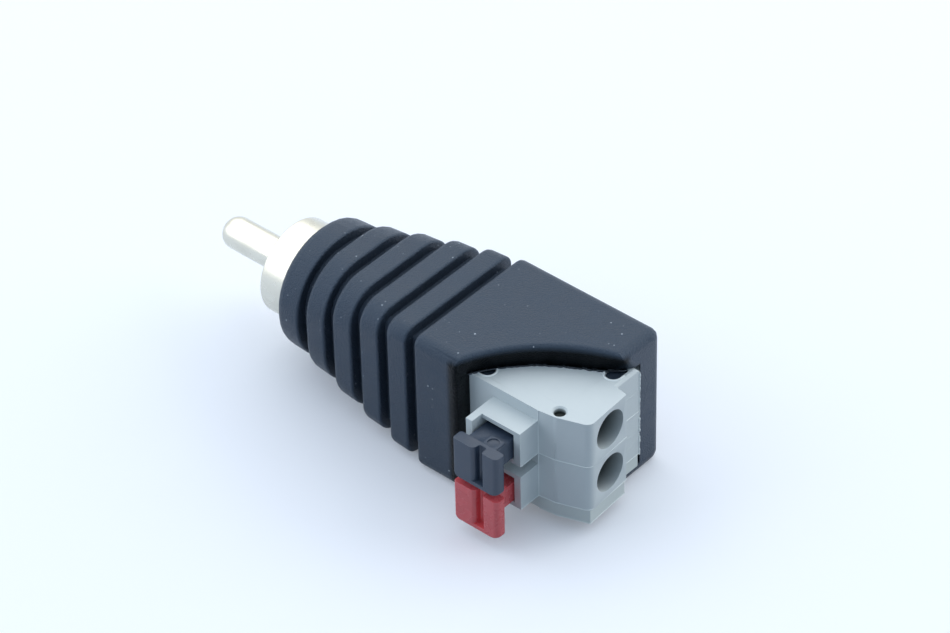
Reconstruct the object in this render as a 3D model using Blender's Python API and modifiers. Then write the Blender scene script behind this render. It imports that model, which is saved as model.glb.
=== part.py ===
# RCA plug with a two-pole push-button terminal block in a ribbed moulded housing.
#
# Working frame: the plug's axis is X and its tip points to -X, the housing's rear face is at X = 0,
# the buttons are on the -Y side, and +Z is up. One empty moves the whole part, so that the origin
# comes to the bottom centre of its bounding box.
import math

import bmesh
import bpy
from mathutils import Matrix, Vector

mm = 0.001

# Housing: a ribbed moulding that goes from a round collar to a square body
HOUSING_LENGTH = 33.7 * mm
BODY_CORNER = 1.1 * mm
BODY_EDGE = 0.8 * mm
COLLAR_DIAMETER = 12.7 * mm
COLLAR_EDGE = 0.8 * mm
GROOVE_COUNT = 5
GROOVE_PITCH = 3.5 * mm
GROOVE_WIDTH = 1.1 * mm
GROOVE_DEPTH = 1.2 * mm
LAST_GROOVE = 16.4 * mm
RIB_FRONT_EDGE = 0.5 * mm
RIB_REAR_EDGE = 0.25 * mm
RIB_SLOPE = 0.35

# Corner of the housing that is cut away in an arc for the terminal block
TOP_WALL = 2.4 * mm
BOTTOM_WALL = 1.2 * mm
ARC_SIDE = 10.95 * mm
ARC_REAR_STEP = 1.8 * mm
ARC_SAGITTA = 1.75 * mm
ARC_EDGE = 0.4 * mm
ARC_FOOT_BACK = 0.65 * mm
ARC_FOOT_LENGTH = 9.0 * mm
ARC_FOOT_REAR_LENGTH = 3.5 * mm
POCKET_SIDE = 10.85 * mm

# Terminal block: two modules and an end plate, stacked along Z
MODULE_PITCH = 5.0 * mm
END_PLATE = 1.5 * mm
END_PLATE_INSET = 0.1 * mm
STACK_GAP = 0.06 * mm
LEVER_RECESS = 1.75 * mm
FAR_WALL = 3.3 * mm
WIRE_FACE = 1.65 * mm
WIRE_FACE_LENGTH = 5.2 * mm
FACE_SLANT = 1.3 * mm
FACE_LEAN = 0.25 * mm
FACE_STEP = 0.2 * mm
FACE_STEP_ROUND = 0.35 * mm
FOOT_PROUD = 0.3 * mm
FOOT_LENGTH = 3.25 * mm
FOOT_CHAMFER = 0.25 * mm
FOOT_TOP_ROUND = 0.6 * mm
FACE_BEND = 1.2 * mm
FACE_BEND_STEP = 0.22 * mm
FACE_CORNER = 0.8 * mm
FACE_BEND_ROUND = 2.0 * mm
FOOT_ROUND = 0.25 * mm
BASE_TURN = math.radians(40.3)
BASE_REACH = 1.55 * mm
MODULE_WALL = 0.8 * mm
MODULE_TOP = 1.0 * mm
CAVITY_START = 2.4 * mm
ENTRY_DIAMETER = 3.8 * mm
ENTRY_THROAT = 2.8 * mm
ENTRY_DEPTH = 3.2 * mm
ENTRY_PLACE = 2.83 * mm
ENTRY_RISE = 0.15 * mm
PEG_DIAMETER = 1.5 * mm
PEG_DEPTH = 0.75 * mm
PEG_SUNK = 0.25 * mm
PEG_TRIM = 0.08
PEG_FROM_CORNER = (0.98 * mm, 1.3 * mm)
PEG_FROM_FOOT = (-1.25 * mm, -2.1 * mm)
PEG_NECKS = ((-0.9 * mm, 0.0), (0.0, 1.3 * mm))
PROBE_DIAMETER = 1.1 * mm
PROBE_CHAMFER = 0.17 * mm
PROBE_FROM_FACE = (-3.03 * mm, 1.1 * mm)
PROBE_DEPTH = 0.7 * mm

# Shroud round each button, on the lever face
SHROUD_LEFT = 8.0 * mm
SHROUD_WIDTH = 5.05 * mm
SHROUD_DROP = 1.2 * mm
SHROUD_REACH = 2.4 * mm
SHROUD_LONG_WALL = 3.7 * mm
SHROUD_SIDE = 0.72 * mm
SHROUD_CAP = 0.45 * mm

# Push buttons
BUTTON_TRAVEL = 0.7 * mm
BUTTON_STOP_GAP = 0.1 * mm
STEM_WIDTH = 3.25 * mm
STEM_HEIGHT = 2.15 * mm
STEM_DROP = 2.25 * mm
STEM_TIP = 1.45 * mm
HEAD_WIDTH = 5.0 * mm
HEAD_HEIGHT = 4.3 * mm
HEAD_THICKNESS = 1.15 * mm
HEAD_RISE = 0.2 * mm
HEAD_LEDGE = 0.4 * mm
HEAD_GROOVE = 0.85 * mm
HEAD_GROOVE_DEPTH = 0.8 * mm
HEAD_GROOVE_CORNER = 0.2 * mm
HEAD_GROOVE_LIPS = (0.5 * mm, 0.25 * mm)
HEAD_GROOVE_SHIFT = 0.35 * mm
HEAD_OFFSET = 0.1 * mm
HEAD_CORNERS = (0.25 * mm, 0.5 * mm)
HEAD_BACK_CORNER = 0.27 * mm
HEAD_LOWER_CORNER = 0.35 * mm
TILE_WIDTH = 1.65 * mm
TILE_LENGTH = 1.3 * mm
TILE_RECESS = 0.55 * mm
TILE_SUNK = 0.06 * mm
TILE_SIDE = 0.08 * mm

# Contact bars and clamp springs inside the modules
BAR_START = 2.8 * mm
BAR_LENGTH = 8.4 * mm
BAR_THICKNESS = 0.7 * mm
STRIP_WIDTH = 2.6 * mm
PIN_PLACE = 5.2 * mm
PIN_THICKNESS = 0.8 * mm
PIN_WIDTH = 1.0 * mm
PIN_REACH = 2.6 * mm
SPRING_THICKNESS = 0.35 * mm
SPRING_BEND = 0.6 * mm
SPRING_START = 3.4 * mm
SPRING_NOSE = 1.0 * mm
SPRING_NOSE_BEND = 0.5 * mm

# Circuit board and transformer behind the block
BOARD_START = 3.4 * mm
BOARD_LENGTH = 8.8 * mm
BOARD_SIDE_GAP = 0.4 * mm
BOARD_THICKNESS = 1.0 * mm
BOARD_STANDOFF = 0.3 * mm
CORE_PLACE = 8.4 * mm
CORE_DIAMETER = 5.0 * mm
CORE_BORE = 2.6 * mm
CORE_LENGTH = 2.2 * mm
CORE_ROUND = 0.35 * mm
WINDING_WIRE = 0.36 * mm
WINDING_TURNS = 7
LEAD_DIAMETER = 1.2 * mm
GROUND_LEAD_DIAMETER = 1.0 * mm
LEAD_PULL = 2.2 * mm

# RCA plug
SLEEVE_DIAMETER = 9.5 * mm
SLEEVE_WALL = 0.5 * mm
SLEEVE_PROUD = 3.4 * mm
SLEEVE_SEAT = 2.4 * mm
SLEEVE_BASE = 0.6 * mm
INSULATOR_LENGTH = 1.3 * mm
PIN_DIAMETER = 3.2 * mm
PIN_TIP = 11.8 * mm
PIN_SHOULDER = 4.4 * mm
PIN_TAIL = 2.4 * mm
PIN_TAIL_LENGTH = 2.8 * mm
CUP_DIAMETER = 1.4 * mm
LUG_GAP = 0.2 * mm
LUG_RING = 1.0 * mm
LUG_THICKNESS = 0.4 * mm
LUG_TAIL_WIDTH = 1.6 * mm
LUG_TAIL_LENGTH = 5.0 * mm

# Cavities inside the housing
PASSAGE_DIAMETER = 7.6 * mm
CHAMBER_FRONT = 14.8 * mm
CHAMBER_WALL = 1.6 * mm
CHAMBER_INSET = 0.1 * mm
CHAMBER_START = 2.2 * mm
CHAMBER_STEP = 1.2 * mm
CHAMBER_END = 1.6 * mm
CHAMBER_OVERLAP = 2.0 * mm

# Gaps between pieces
FIT = 0.08 * mm
SLIDE = 0.15 * mm

# Facets
RING_STEPS = 9
TURN_STEPS = 36
FILLET_STEPS = 3

# Places that follow from the driving dimensions
BLOCK_WIDTH = FACE_SLANT + WIRE_FACE_LENGTH + FACE_STEP + FOOT_LENGTH
HOUSING_WIDTH = LEVER_RECESS + BLOCK_WIDTH + FAR_WALL
HALF_WIDTH = HOUSING_WIDTH / 2
HOUSING_HEIGHT = TOP_WALL + 2 * MODULE_PITCH + END_PLATE + BOTTOM_WALL
HALF_HEIGHT = HOUSING_HEIGHT / 2
BLOCK_TOP = HALF_HEIGHT - TOP_WALL
BLOCK_MIDDLE = BLOCK_TOP - MODULE_PITCH
BLOCK_BOTTOM = BLOCK_TOP - 2 * MODULE_PITCH - END_PLATE
CHAMBER_HEIGHT = 2 * (MODULE_PITCH - CHAMBER_INSET)
BOARD_HEIGHT = CHAMBER_HEIGHT - 2 * BOARD_SIDE_GAP
LEVER_FACE = -HALF_WIDTH + LEVER_RECESS
LEVER_CORNER = Vector((-POCKET_SIDE + FIT, LEVER_FACE))
WIRE_FACE_START = LEVER_FACE + FACE_SLANT
WIRE_FACE_END = WIRE_FACE_START + WIRE_FACE_LENGTH
FOOT_START = WIRE_FACE_END + FACE_STEP
FOOT_END = FOOT_START + FOOT_LENGTH
ARC_REAR = FOOT_END - ARC_REAR_STEP
ENTRY_CENTRE = WIRE_FACE_START + ENTRY_PLACE
FOOT_CORNER = Vector((FOOT_PROUD, FOOT_END))
PEG_PLACES = (LEVER_CORNER + Vector(PEG_FROM_CORNER), FOOT_CORNER + Vector(PEG_FROM_FOOT))
PROBE_PLACE = Vector((WIRE_FACE, LEVER_FACE)) + Vector(PROBE_FROM_FACE)
LUG_DIAMETER = PASSAGE_DIAMETER - 2 * LUG_GAP
INSULATOR_NECK = LUG_DIAMETER - 2 * LUG_RING
BASE_ALONG = Vector((-math.cos(BASE_TURN), -math.sin(BASE_TURN)))
BASE_INWARD = Vector((math.sin(BASE_TURN), -math.cos(BASE_TURN)))
BASE_FOOT = FOOT_CORNER - BASE_INWARD * BASE_REACH
BASE_LENGTH = (LEVER_CORNER - BASE_FOOT).dot(BASE_ALONG)
CAVITY_REAR = WIRE_FACE - ENTRY_DEPTH
CAVITY_SIDE = LEVER_FACE + MODULE_WALL
SHROUD_FRONT = LEVER_FACE - SHROUD_REACH
LONG_WALL_END = LEVER_FACE - SHROUD_LONG_WALL
SHROUD_CENTRE = -SHROUD_LEFT + SHROUD_WIDTH / 2
HEAD_BACK = LONG_WALL_END - BUTTON_TRAVEL - BUTTON_STOP_GAP
HEAD_FRONT = HEAD_BACK - HEAD_THICKNESS
STEM_END = CAVITY_SIDE + STEM_TIP - MODULE_WALL
SPRING_FACE = STEM_END + BUTTON_TRAVEL + BUTTON_STOP_GAP
FRONT_FACE = -HOUSING_LENGTH
SLEEVE_REAR = FRONT_FACE + SLEEVE_SEAT
INSULATOR_FRONT = SLEEVE_REAR - SLEEVE_BASE - FIT - INSULATOR_LENGTH
LUG_REAR = SLEEVE_REAR + FIT + LUG_THICKNESS


def clear_scene():
    for item in list(bpy.data.objects):
        bpy.data.objects.remove(item, do_unlink=True)


def new_collection(name):
    group = bpy.data.collections.new(name)
    bpy.context.scene.collection.children.link(group)
    return group


def new_material(name, colour, roughness, metallic=0.0):
    finish = bpy.data.materials.new(name)
    finish.use_nodes = True
    shader = finish.node_tree.nodes["Principled BSDF"]
    shader.inputs["Base Color"].default_value = (*colour, 1.0)
    shader.inputs["Roughness"].default_value = roughness
    shader.inputs["Metallic"].default_value = metallic
    finish.diffuse_color = (*colour, 1.0)
    return finish


clear_scene()
parts = new_collection("rca_balun_connector")
cutters = new_collection("cutters")
frame = bpy.data.objects.new("connector_frame", None)
parts.objects.link(frame)

black_plastic = new_material("black moulding", (0.018, 0.019, 0.023), 0.5)
grey_plastic = new_material("grey polyamide", (0.45, 0.48, 0.49), 0.45)
dark_plastic = new_material("dark grey polyamide", (0.055, 0.06, 0.08), 0.4)
red_plastic = new_material("red polyamide", (0.36, 0.035, 0.03), 0.4)
nickel = new_material("nickel plate", (0.72, 0.70, 0.66), 0.25, 1.0)
tinned_brass = new_material("tinned brass", (0.62, 0.60, 0.55), 0.35, 1.0)
spring_steel = new_material("spring steel", (0.55, 0.56, 0.58), 0.3, 1.0)
white_plastic = new_material("white insulator", (0.78, 0.77, 0.72), 0.5)
laminate = new_material("green laminate", (0.03, 0.16, 0.08), 0.5)
ferrite = new_material("ferrite", (0.045, 0.045, 0.05), 0.6)
enamelled_copper = new_material("enamelled copper", (0.55, 0.22, 0.08), 0.35, 1.0)
black_sheath = new_material("black wire insulation", (0.02, 0.02, 0.02), 0.5)
red_sheath = new_material("red wire insulation", (0.45, 0.03, 0.03), 0.5)


def add_object(name, mesh, finish=None):
    """Adds a sub-part, or a cutter where it has no finish."""
    item = bpy.data.objects.new(name, mesh)
    if finish is None:
        cutters.objects.link(item)
        item.hide_render = True
        item.display_type = "WIRE"
    else:
        parts.objects.link(item)
        mesh.materials.append(finish)
    item.parent = frame
    return item


def smooth(item, angle=30.0):
    item.data.shade_smooth()
    item.data.set_sharp_from_angle(angle=math.radians(angle))


def combine(item, other, operation):
    """Adds a Boolean modifier to a sub-part."""
    change = item.modifiers.new(other.name, "BOOLEAN")
    change.object = other
    change.operation = operation
    change.solver = "EXACT"


def cut(item, *others):
    for other in others:
        combine(item, other, "DIFFERENCE")


def join(item, *others):
    for other in others:
        combine(item, other, "UNION")


def rounded(corners, steps=4):
    """Outline through (x, y, radius) corners, each rounded by an arc."""
    outline = []
    count = len(corners)
    for index, (x, y, radius) in enumerate(corners):
        here = Vector((x, y))
        if radius <= 0:
            outline.append(here)
            continue
        before = (Vector(corners[index - 1][:2]) - here).normalized()
        after = (Vector(corners[(index + 1) % count][:2]) - here).normalized()
        half_angle = before.angle(after) / 2
        centre = here + (before + after).normalized() * radius / math.sin(half_angle)
        reach = radius / math.tan(half_angle)
        start = here + before * reach - centre
        end = here + after * reach - centre
        sweep = start.angle_signed(end)
        for step in range(steps + 1):
            outline.append(centre + Matrix.Rotation(-sweep * step / steps, 2) @ start)
    return outline


def prism(name, outline, low, high, finish=None, axis="Z"):
    """Flat outline given a thickness: along Z, or along Y with the outline in XZ."""
    curve = bpy.data.curves.new(name, "CURVE")
    curve.dimensions = "2D"
    curve.fill_mode = "BOTH"
    curve.extrude = (high - low) / 2
    spline = curve.splines.new("POLY")
    spline.points.add(len(outline) - 1)
    for point, place in zip(spline.points, outline):
        point.co = (place[0], place[1], 0, 1)
    spline.use_cyclic_u = True
    middle = (low + high) / 2
    if axis == "Z":
        placement = Matrix.Translation((0, 0, middle))
    else:
        placement = Matrix.Translation((0, middle, 0)) @ Matrix.Rotation(math.pi / 2, 4, "X")
    return curve_to_mesh(name, curve, placement, finish)


def curve_to_mesh(name, curve, placement, finish):
    """Turns a curve into one closed mesh, because a curve takes no Boolean."""
    holder = bpy.data.objects.new(name + " curve", curve)
    parts.objects.link(holder)
    bpy.context.view_layer.update()
    evaluated = holder.evaluated_get(bpy.context.evaluated_depsgraph_get())
    mesh = bpy.data.meshes.new_from_object(evaluated)
    mesh.name = name
    bpy.data.objects.remove(holder)
    mesh.transform(placement)
    shape = bmesh.new()
    shape.from_mesh(mesh)
    bmesh.ops.remove_doubles(shape, verts=shape.verts, dist=0.000001)
    bmesh.ops.recalc_face_normals(shape, faces=shape.faces)
    shape.to_mesh(mesh)
    shape.free()
    mesh.materials.clear()
    return add_object(name, mesh, finish)


def block(name, low, high, finish=None):
    """Box between two corners."""
    mesh = bpy.data.meshes.new(name)
    shape = bmesh.new()
    bmesh.ops.create_cube(shape, size=1.0)
    size = Vector(high) - Vector(low)
    middle = (Vector(high) + Vector(low)) / 2
    bmesh.ops.transform(shape, matrix=Matrix.Translation(middle) @ Matrix.Diagonal((*size, 1)), verts=shape.verts)
    shape.to_mesh(mesh)
    shape.free()
    return add_object(name, mesh, finish)


def rod(name, centre, radius, low, high, finish=None, steps=24, top_radius=None):
    """Upright cylinder, or a cone where the radius at the top is another one."""
    upper = radius if top_radius is None else top_radius
    mesh = bpy.data.meshes.new(name)
    shape = bmesh.new()
    bmesh.ops.create_cone(shape, cap_ends=True, segments=steps, radius1=radius, radius2=upper, depth=high - low)
    bmesh.ops.translate(shape, vec=(centre[0], centre[1], (low + high) / 2), verts=shape.verts)
    shape.to_mesh(mesh)
    shape.free()
    return add_object(name, mesh, finish)


def turned(name, profile, finish=None, closed=False, steps=TURN_STEPS):
    """Turned shape about the plug's axis. The profile holds (x, radius) and runs from the tip's side to the rear."""
    mesh = bpy.data.meshes.new(name)
    points = [(radius, 0, -x) for x, radius in profile]
    edges = [(index, index + 1) for index in range(len(points) - 1)]
    if closed:
        edges.append((len(points) - 1, 0))
    mesh.from_pydata(points, edges, [])
    item = add_object(name, mesh, finish)
    item.rotation_euler = (0, -math.pi / 2, 0)
    screw = item.modifiers.new("turn", "SCREW")
    screw.axis = "Z"
    screw.steps = steps
    screw.render_steps = steps
    screw.use_merge_vertices = True
    screw.merge_threshold = 0.000001
    screw.use_smooth_shade = True
    return item


def set_origin(item, place):
    """Puts a moving piece's origin on its joint's axis."""
    item.data.transform(Matrix.Translation(-Vector(place)))
    item.location = place


def base_point(along, inward):
    """Point given from the block's base: along it from the foot's end, and inward from it."""
    return BASE_FOOT + BASE_ALONG * along + BASE_INWARD * inward


def base_box(along_start, along_end, inward_start, inward_end):
    """Outline of a rectangle that lies along the block's base."""
    return [base_point(along_start, inward_start), base_point(along_end, inward_start),
            base_point(along_end, inward_end), base_point(along_start, inward_end)]


def ring_points(x, half_y, half_z, corner):
    """Section of the housing: a rectangle with round corners, or almost a circle."""
    points = []
    for quarter, (side_y, side_z) in enumerate(((1, 1), (-1, 1), (-1, -1), (1, -1))):
        centre = Vector((side_y * (half_y - corner), side_z * (half_z - corner)))
        for step in range(RING_STEPS + 1):
            turn = (quarter + step / RING_STEPS) * math.pi / 2
            points.append(Vector((x, centre.x + corner * math.cos(turn), centre.y + corner * math.sin(turn))))
    return points


def housing_section(x, blend, inset):
    """Section at x: blend runs from 0 at the collar to 1 at the body, and inset shrinks it."""
    collar = COLLAR_DIAMETER / 2
    half_y = collar + (HALF_WIDTH - collar) * blend - inset
    half_z = collar + (HALF_HEIGHT - collar) * blend - inset
    round_share = (1 - blend) ** 2 * (1 + blend)
    corner = collar * 0.97 * round_share + BODY_CORNER * (1 - round_share) - inset
    return ring_points(x, half_y, half_z, max(corner, BODY_CORNER / 4))


def edge_stations(start, end, edge_start, edge_end):
    """(x, inset) pairs along one segment, with both of its edges rounded."""
    stations = []
    for step in range(FILLET_STEPS + 1):
        turn = math.pi / 2 * step / FILLET_STEPS
        stations.append((start + edge_start * (1 - math.cos(turn)), edge_start * (1 - math.sin(turn))))
    for step in range(FILLET_STEPS, -1, -1):
        turn = math.pi / 2 * step / FILLET_STEPS
        stations.append((end - edge_end * (1 - math.cos(turn)), edge_end * (1 - math.sin(turn))))
    return stations


def housing_rings():
    """Sections from the front face to the rear face, with a groove after each segment but the last."""
    rings = []
    start = FRONT_FACE
    for segment in range(GROOVE_COUNT + 1):
        last = segment == GROOVE_COUNT
        groove = -LAST_GROOVE - (GROOVE_COUNT - 1 - segment) * GROOVE_PITCH
        end = 0.0 if last else groove - GROOVE_WIDTH / 2
        edge_start = COLLAR_EDGE if segment == 0 else RIB_FRONT_EDGE
        edge_end = BODY_EDGE if last else RIB_REAR_EDGE
        middle = (start + end) / 2
        for x, inset in edge_stations(start, end, edge_start, edge_end):
            lean = 0.0 if last else RIB_SLOPE * (x - middle) / GROOVE_PITCH
            blend = min(max((segment + lean) / GROOVE_COUNT, 0.0), 1.0)
            rings.append(housing_section(x, blend, inset))
        if not last:
            start = groove + GROOVE_WIDTH / 2
            for x in (end, start):
                rings.append(housing_section(x, (segment + 0.5) / GROOVE_COUNT, GROOVE_DEPTH))
    return rings


def loft(name, rings, finish=None):
    """Closed body through rings that all have as many points."""
    mesh = bpy.data.meshes.new(name)
    shape = bmesh.new()
    loops = [[shape.verts.new(point) for point in ring] for ring in rings]
    for first, second in zip(loops, loops[1:]):
        for index in range(len(first)):
            after = (index + 1) % len(first)
            shape.faces.new((first[index], first[after], second[after], second[index]))
    shape.faces.new(loops[0])
    shape.faces.new(loops[-1])
    bmesh.ops.recalc_face_normals(shape, faces=shape.faces)
    shape.to_mesh(mesh)
    shape.free()
    return add_object(name, mesh, finish)


def arc_between(start, end, sagitta, steps):
    """Points of an arc that bulges to the left of the way from start to end."""
    chord = end - start
    left = Vector((-chord.y, chord.x)).normalized()
    radius = ((chord.length / 2) ** 2 + sagitta ** 2) / (2 * sagitta)
    centre = (start + end) / 2 - left * (radius - sagitta)
    sweep = (start - centre).angle_signed(end - centre)
    return [centre + Matrix.Rotation(-sweep * step / steps, 2) @ (start - centre) for step in range(steps + 1)]


def arc_wall():
    """Plan of the wall that stands over the terminal block: an arc whose two ends turn into the outer faces."""
    start = Vector((-ARC_SIDE, -HALF_WIDTH))
    end = Vector((0, ARC_REAR))
    arc = arc_between(start, end, ARC_SAGITTA, 16)
    first, last = arc[1], arc[-2]
    way_in = (first - start).normalized() * ARC_EDGE
    way_out = (last - end).normalized() * ARC_EDGE
    side = Vector((-ARC_EDGE, 0))
    rear = Vector((0, ARC_EDGE))
    wall = [bezier(start + side, start, start + way_in, step / 4) for step in range(5)]
    wall += [point for point in arc if (point - start).length > ARC_EDGE and (point - end).length > ARC_EDGE]
    wall += [bezier(end + way_out, end, end + rear, step / 4) for step in range(5)]
    return wall


def arc_foot():
    """Plan of the same wall at its foot on the block, where it stands further back towards both ends."""
    foot = []
    for point in arc_wall():
        over_block = min(max((point.y + HALF_WIDTH) / LEVER_RECESS, 0.0), 1.0)
        back = ARC_FOOT_BACK * over_block * max(1 - (point.x + ARC_SIDE) / ARC_FOOT_LENGTH, 0.0)
        aside = (ARC_REAR_STEP - ARC_EDGE) * max(1 + point.x / ARC_FOOT_REAR_LENGTH, 0.0) ** 2
        foot.append(point + Vector((-back, aside)))
    return foot


def bezier(start, pull, end, share):
    return start * (1 - share) ** 2 + pull * 2 * share * (1 - share) + end * share ** 2


def arc_edge_rings(side):
    """(z, share of the edge's radius) pairs that round the wall's edge at the top (1) or the bottom (-1)."""
    rings = []
    for step in range(FILLET_STEPS + 1):
        turn = math.pi / 2 * step / FILLET_STEPS
        rings.append((side * (HALF_HEIGHT - ARC_EDGE * (1 - math.sin(turn))), 1 - math.cos(turn)))
    return rings[:-1] if side > 0 else rings[-2::-1]


def arc_cutter(name, levels):
    """Cutter of the open corner. Each level is (z, share of the edge's radius that the wall steps back, plan)."""
    far = HOUSING_WIDTH
    rings = []
    for z, share, *plan in levels:
        moved = offset_path(plan[0] if plan else arc_wall(), ARC_EDGE * share)
        ring = moved + [Vector((far, moved[-1].y)), Vector((far, -far)), Vector((moved[0].x, -far))]
        rings.append([Vector((point.x, point.y, z)) for point in ring])
    return loft(name, rings)


def block_outline(inset=0.0, sharp=False):
    """Outline of the terminal block in plan, shrunk by inset."""
    near_face = WIRE_FACE + FACE_LEAN
    slant = (FACE_SLANT - FACE_BEND_STEP) / (near_face + FACE_BEND)
    steep = inset * (math.hypot(1, slant) - slant)
    round_scale = 0.0 if sharp else 1.0
    lever = LEVER_CORNER + Vector((inset, inset))
    foot = FOOT_CORNER - Vector((inset, inset))
    corners = [
        (lever.x, lever.y, 0),
        (SHROUD_WIDTH - SHROUD_LEFT, LEVER_FACE + inset, 0),
        (-FACE_BEND, LEVER_FACE + FACE_BEND_STEP + inset, FACE_BEND_ROUND * round_scale),
        (near_face - inset, WIRE_FACE_START + steep, FACE_CORNER * round_scale),
        (WIRE_FACE - inset, WIRE_FACE_END - inset, 0),
        (foot.x, FOOT_START - inset, FACE_STEP_ROUND * round_scale),
        (foot.x, foot.y, FOOT_ROUND * round_scale),
        (*base_point(inset, inset), 0),
        (*base_point(BASE_LENGTH - inset, inset), 0),
    ]
    return rounded(corners, steps=5)


def peg_outline(place, neck, radius):
    """Plan of a moulded peg: round where it shows, with a neck of the same width that runs back under the wall."""
    neck = Vector(neck)
    way = neck.normalized()
    across = Vector((-way.y, way.x))
    outline = []
    for step in range(13):
        turn = math.pi * step / 12
        outline.append(place + (across * math.cos(turn) - way * math.sin(turn)) * radius)
    return outline + [outline[-1] + neck, outline[0] + neck]


def corner_cutter(name, side, top, radius, low, high):
    """Cutter that rounds the edge along X between the plane Y = side and the plane Z = top."""
    profile = [(side - 1.3 * radius, top + mm), (side - 1.3 * radius, top + 0.01 * mm)]
    for step in range(FILLET_STEPS + 2):
        turn = math.pi / 2 * (1 - step / (FILLET_STEPS + 1))
        profile.append((side - radius + radius * math.cos(turn), top - radius + radius * math.sin(turn)))
    profile += [(side + 0.01 * mm, top - 1.3 * radius), (side + mm, top - 1.3 * radius), (side + mm, top + mm)]
    return loft(name, [[Vector((x, y, z)) for y, z in profile] for x in (low, high)])


def make_housing():
    housing = loft("housing", housing_rings(), black_plastic)

    far = HOUSING_WIDTH
    block_level = BLOCK_TOP + FIT / 2
    arc_cut = arc_cutter("arc cut", [(-far, 1.0), (-HALF_HEIGHT, 1.0), *arc_edge_rings(-1), (block_level - mm, 0.0),
                                     (block_level, 0.0, arc_foot()), *arc_edge_rings(1), (HALF_HEIGHT, 1.0), (far, 1.0)])

    base_start = base_point(-FIT, -FIT)
    base_end = base_point(BASE_LENGTH + FIT, -FIT)
    pocket = [Vector((-POCKET_SIDE, -far)), Vector((-POCKET_SIDE, LEVER_FACE)), base_end, base_start,
              FOOT_CORNER + Vector((0, FIT)), Vector((far, FOOT_END + FIT)), Vector((far, -far))]
    block_pocket = prism("block pocket", pocket, BLOCK_BOTTOM - FIT, BLOCK_TOP + FIT)

    chamber_side = HALF_WIDTH - CHAMBER_WALL
    chamber_end = base_point(BASE_LENGTH - CHAMBER_END, FIT)
    chamber_start = base_point(CHAMBER_START, FIT)
    chamber = [chamber_end, chamber_start, Vector((chamber_start.x - CHAMBER_STEP, chamber_side)),
               Vector((-CHAMBER_FRONT, chamber_side)), Vector((-CHAMBER_FRONT, chamber_end.y))]
    board_chamber = prism("board chamber", chamber, BLOCK_MIDDLE - CHAMBER_HEIGHT / 2, BLOCK_MIDDLE + CHAMBER_HEIGHT / 2)

    passage_end = -CHAMBER_FRONT + CHAMBER_OVERLAP
    bore = SLEEVE_DIAMETER / 2 + FIT
    passage = PASSAGE_DIAMETER / 2
    bore_profile = [(FRONT_FACE - bore, 0), (FRONT_FACE - bore, bore), (SLEEVE_REAR + FIT, bore),
                    (SLEEVE_REAR + FIT, passage), (passage_end, passage), (passage_end, 0)]
    plug_bore = turned("plug bore", bore_profile)
    cut(housing, plug_bore, board_chamber, block_pocket, arc_cut)

    for index, place in enumerate(PEG_PLACES):
        peg = prism(f"moulded peg {index + 1}", peg_outline(place, PEG_NECKS[index], PEG_DIAMETER / 2 - FIT),
                    BLOCK_TOP - PEG_DEPTH + FIT, BLOCK_TOP + FIT + STACK_GAP)
        cut(peg, arc_cutter(f"peg trim {index + 1}", [(BLOCK_TOP - PEG_SUNK, PEG_TRIM, arc_foot()),
                                                      (BLOCK_TOP + mm, PEG_TRIM, arc_foot())]))
        join(housing, peg)
    smooth(housing)
    return housing


def make_plug():
    """The RCA plug: sleeve, insulator, pin and ground lug, all turned about the plug's axis."""
    outer = SLEEVE_DIAMETER / 2
    inner = outer - SLEEVE_WALL
    rim = FRONT_FACE - SLEEVE_PROUD
    neck = INSULATOR_NECK / 2
    lip = SLEEVE_WALL * 0.3
    turned("rca_sleeve", [
        (rim, inner + lip), (rim, outer - lip), (rim + lip, outer), (SLEEVE_REAR, outer), (SLEEVE_REAR, neck + FIT),
        (SLEEVE_REAR - SLEEVE_BASE, neck + FIT), (SLEEVE_REAR - SLEEVE_BASE, inner), (rim + lip, inner),
    ], nickel, closed=True)

    neck_end = LUG_REAR + FIT
    pin_hole = PIN_TAIL / 2 + FIT
    disc_rear = INSULATOR_FRONT + INSULATOR_LENGTH
    turned("rca_insulator", [
        (INSULATOR_FRONT, pin_hole), (INSULATOR_FRONT, inner - FIT), (disc_rear, inner - FIT), (disc_rear, neck),
        (neck_end, neck), (neck_end, pin_hole),
    ], white_plastic, closed=True)

    pin = PIN_DIAMETER / 2
    tip = FRONT_FACE - PIN_TIP
    shoulder_end = INSULATOR_FRONT - FIT
    shoulder_start = shoulder_end - SLEEVE_BASE
    tail_end = LUG_REAR + PIN_TAIL_LENGTH
    cup = CUP_DIAMETER / 2
    turned("rca_center_pin", [
        (tip, 0), (tip, pin * 0.45), (tip + pin * 0.16, pin * 0.72), (tip + pin * 0.45, pin * 0.93),
        (tip + pin * 0.8, pin), (shoulder_start, pin), (shoulder_start, PIN_SHOULDER / 2),
        (shoulder_end, PIN_SHOULDER / 2), (shoulder_end, PIN_TAIL / 2), (tail_end, PIN_TAIL / 2), (tail_end, cup),
        (tail_end - CUP_DIAMETER, cup), (tail_end - CUP_DIAMETER, 0),
    ], nickel)

    lug_front = SLEEVE_REAR + FIT
    lug = turned("ground_lug", [
        (lug_front, neck + FIT), (lug_front, LUG_DIAMETER / 2), (LUG_REAR, LUG_DIAMETER / 2), (LUG_REAR, neck + FIT),
    ], tinned_brass, closed=True)
    tail_top = -neck - FIT - LUG_THICKNESS / 2
    tail = block("lug tail", (lug_front + LUG_THICKNESS / 4, -LUG_TAIL_WIDTH / 2, tail_top - LUG_THICKNESS),
                 (LUG_REAR + LUG_TAIL_LENGTH, LUG_TAIL_WIDTH / 2, tail_top))
    join(lug, tail)
    return tail_end, tail_top


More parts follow.
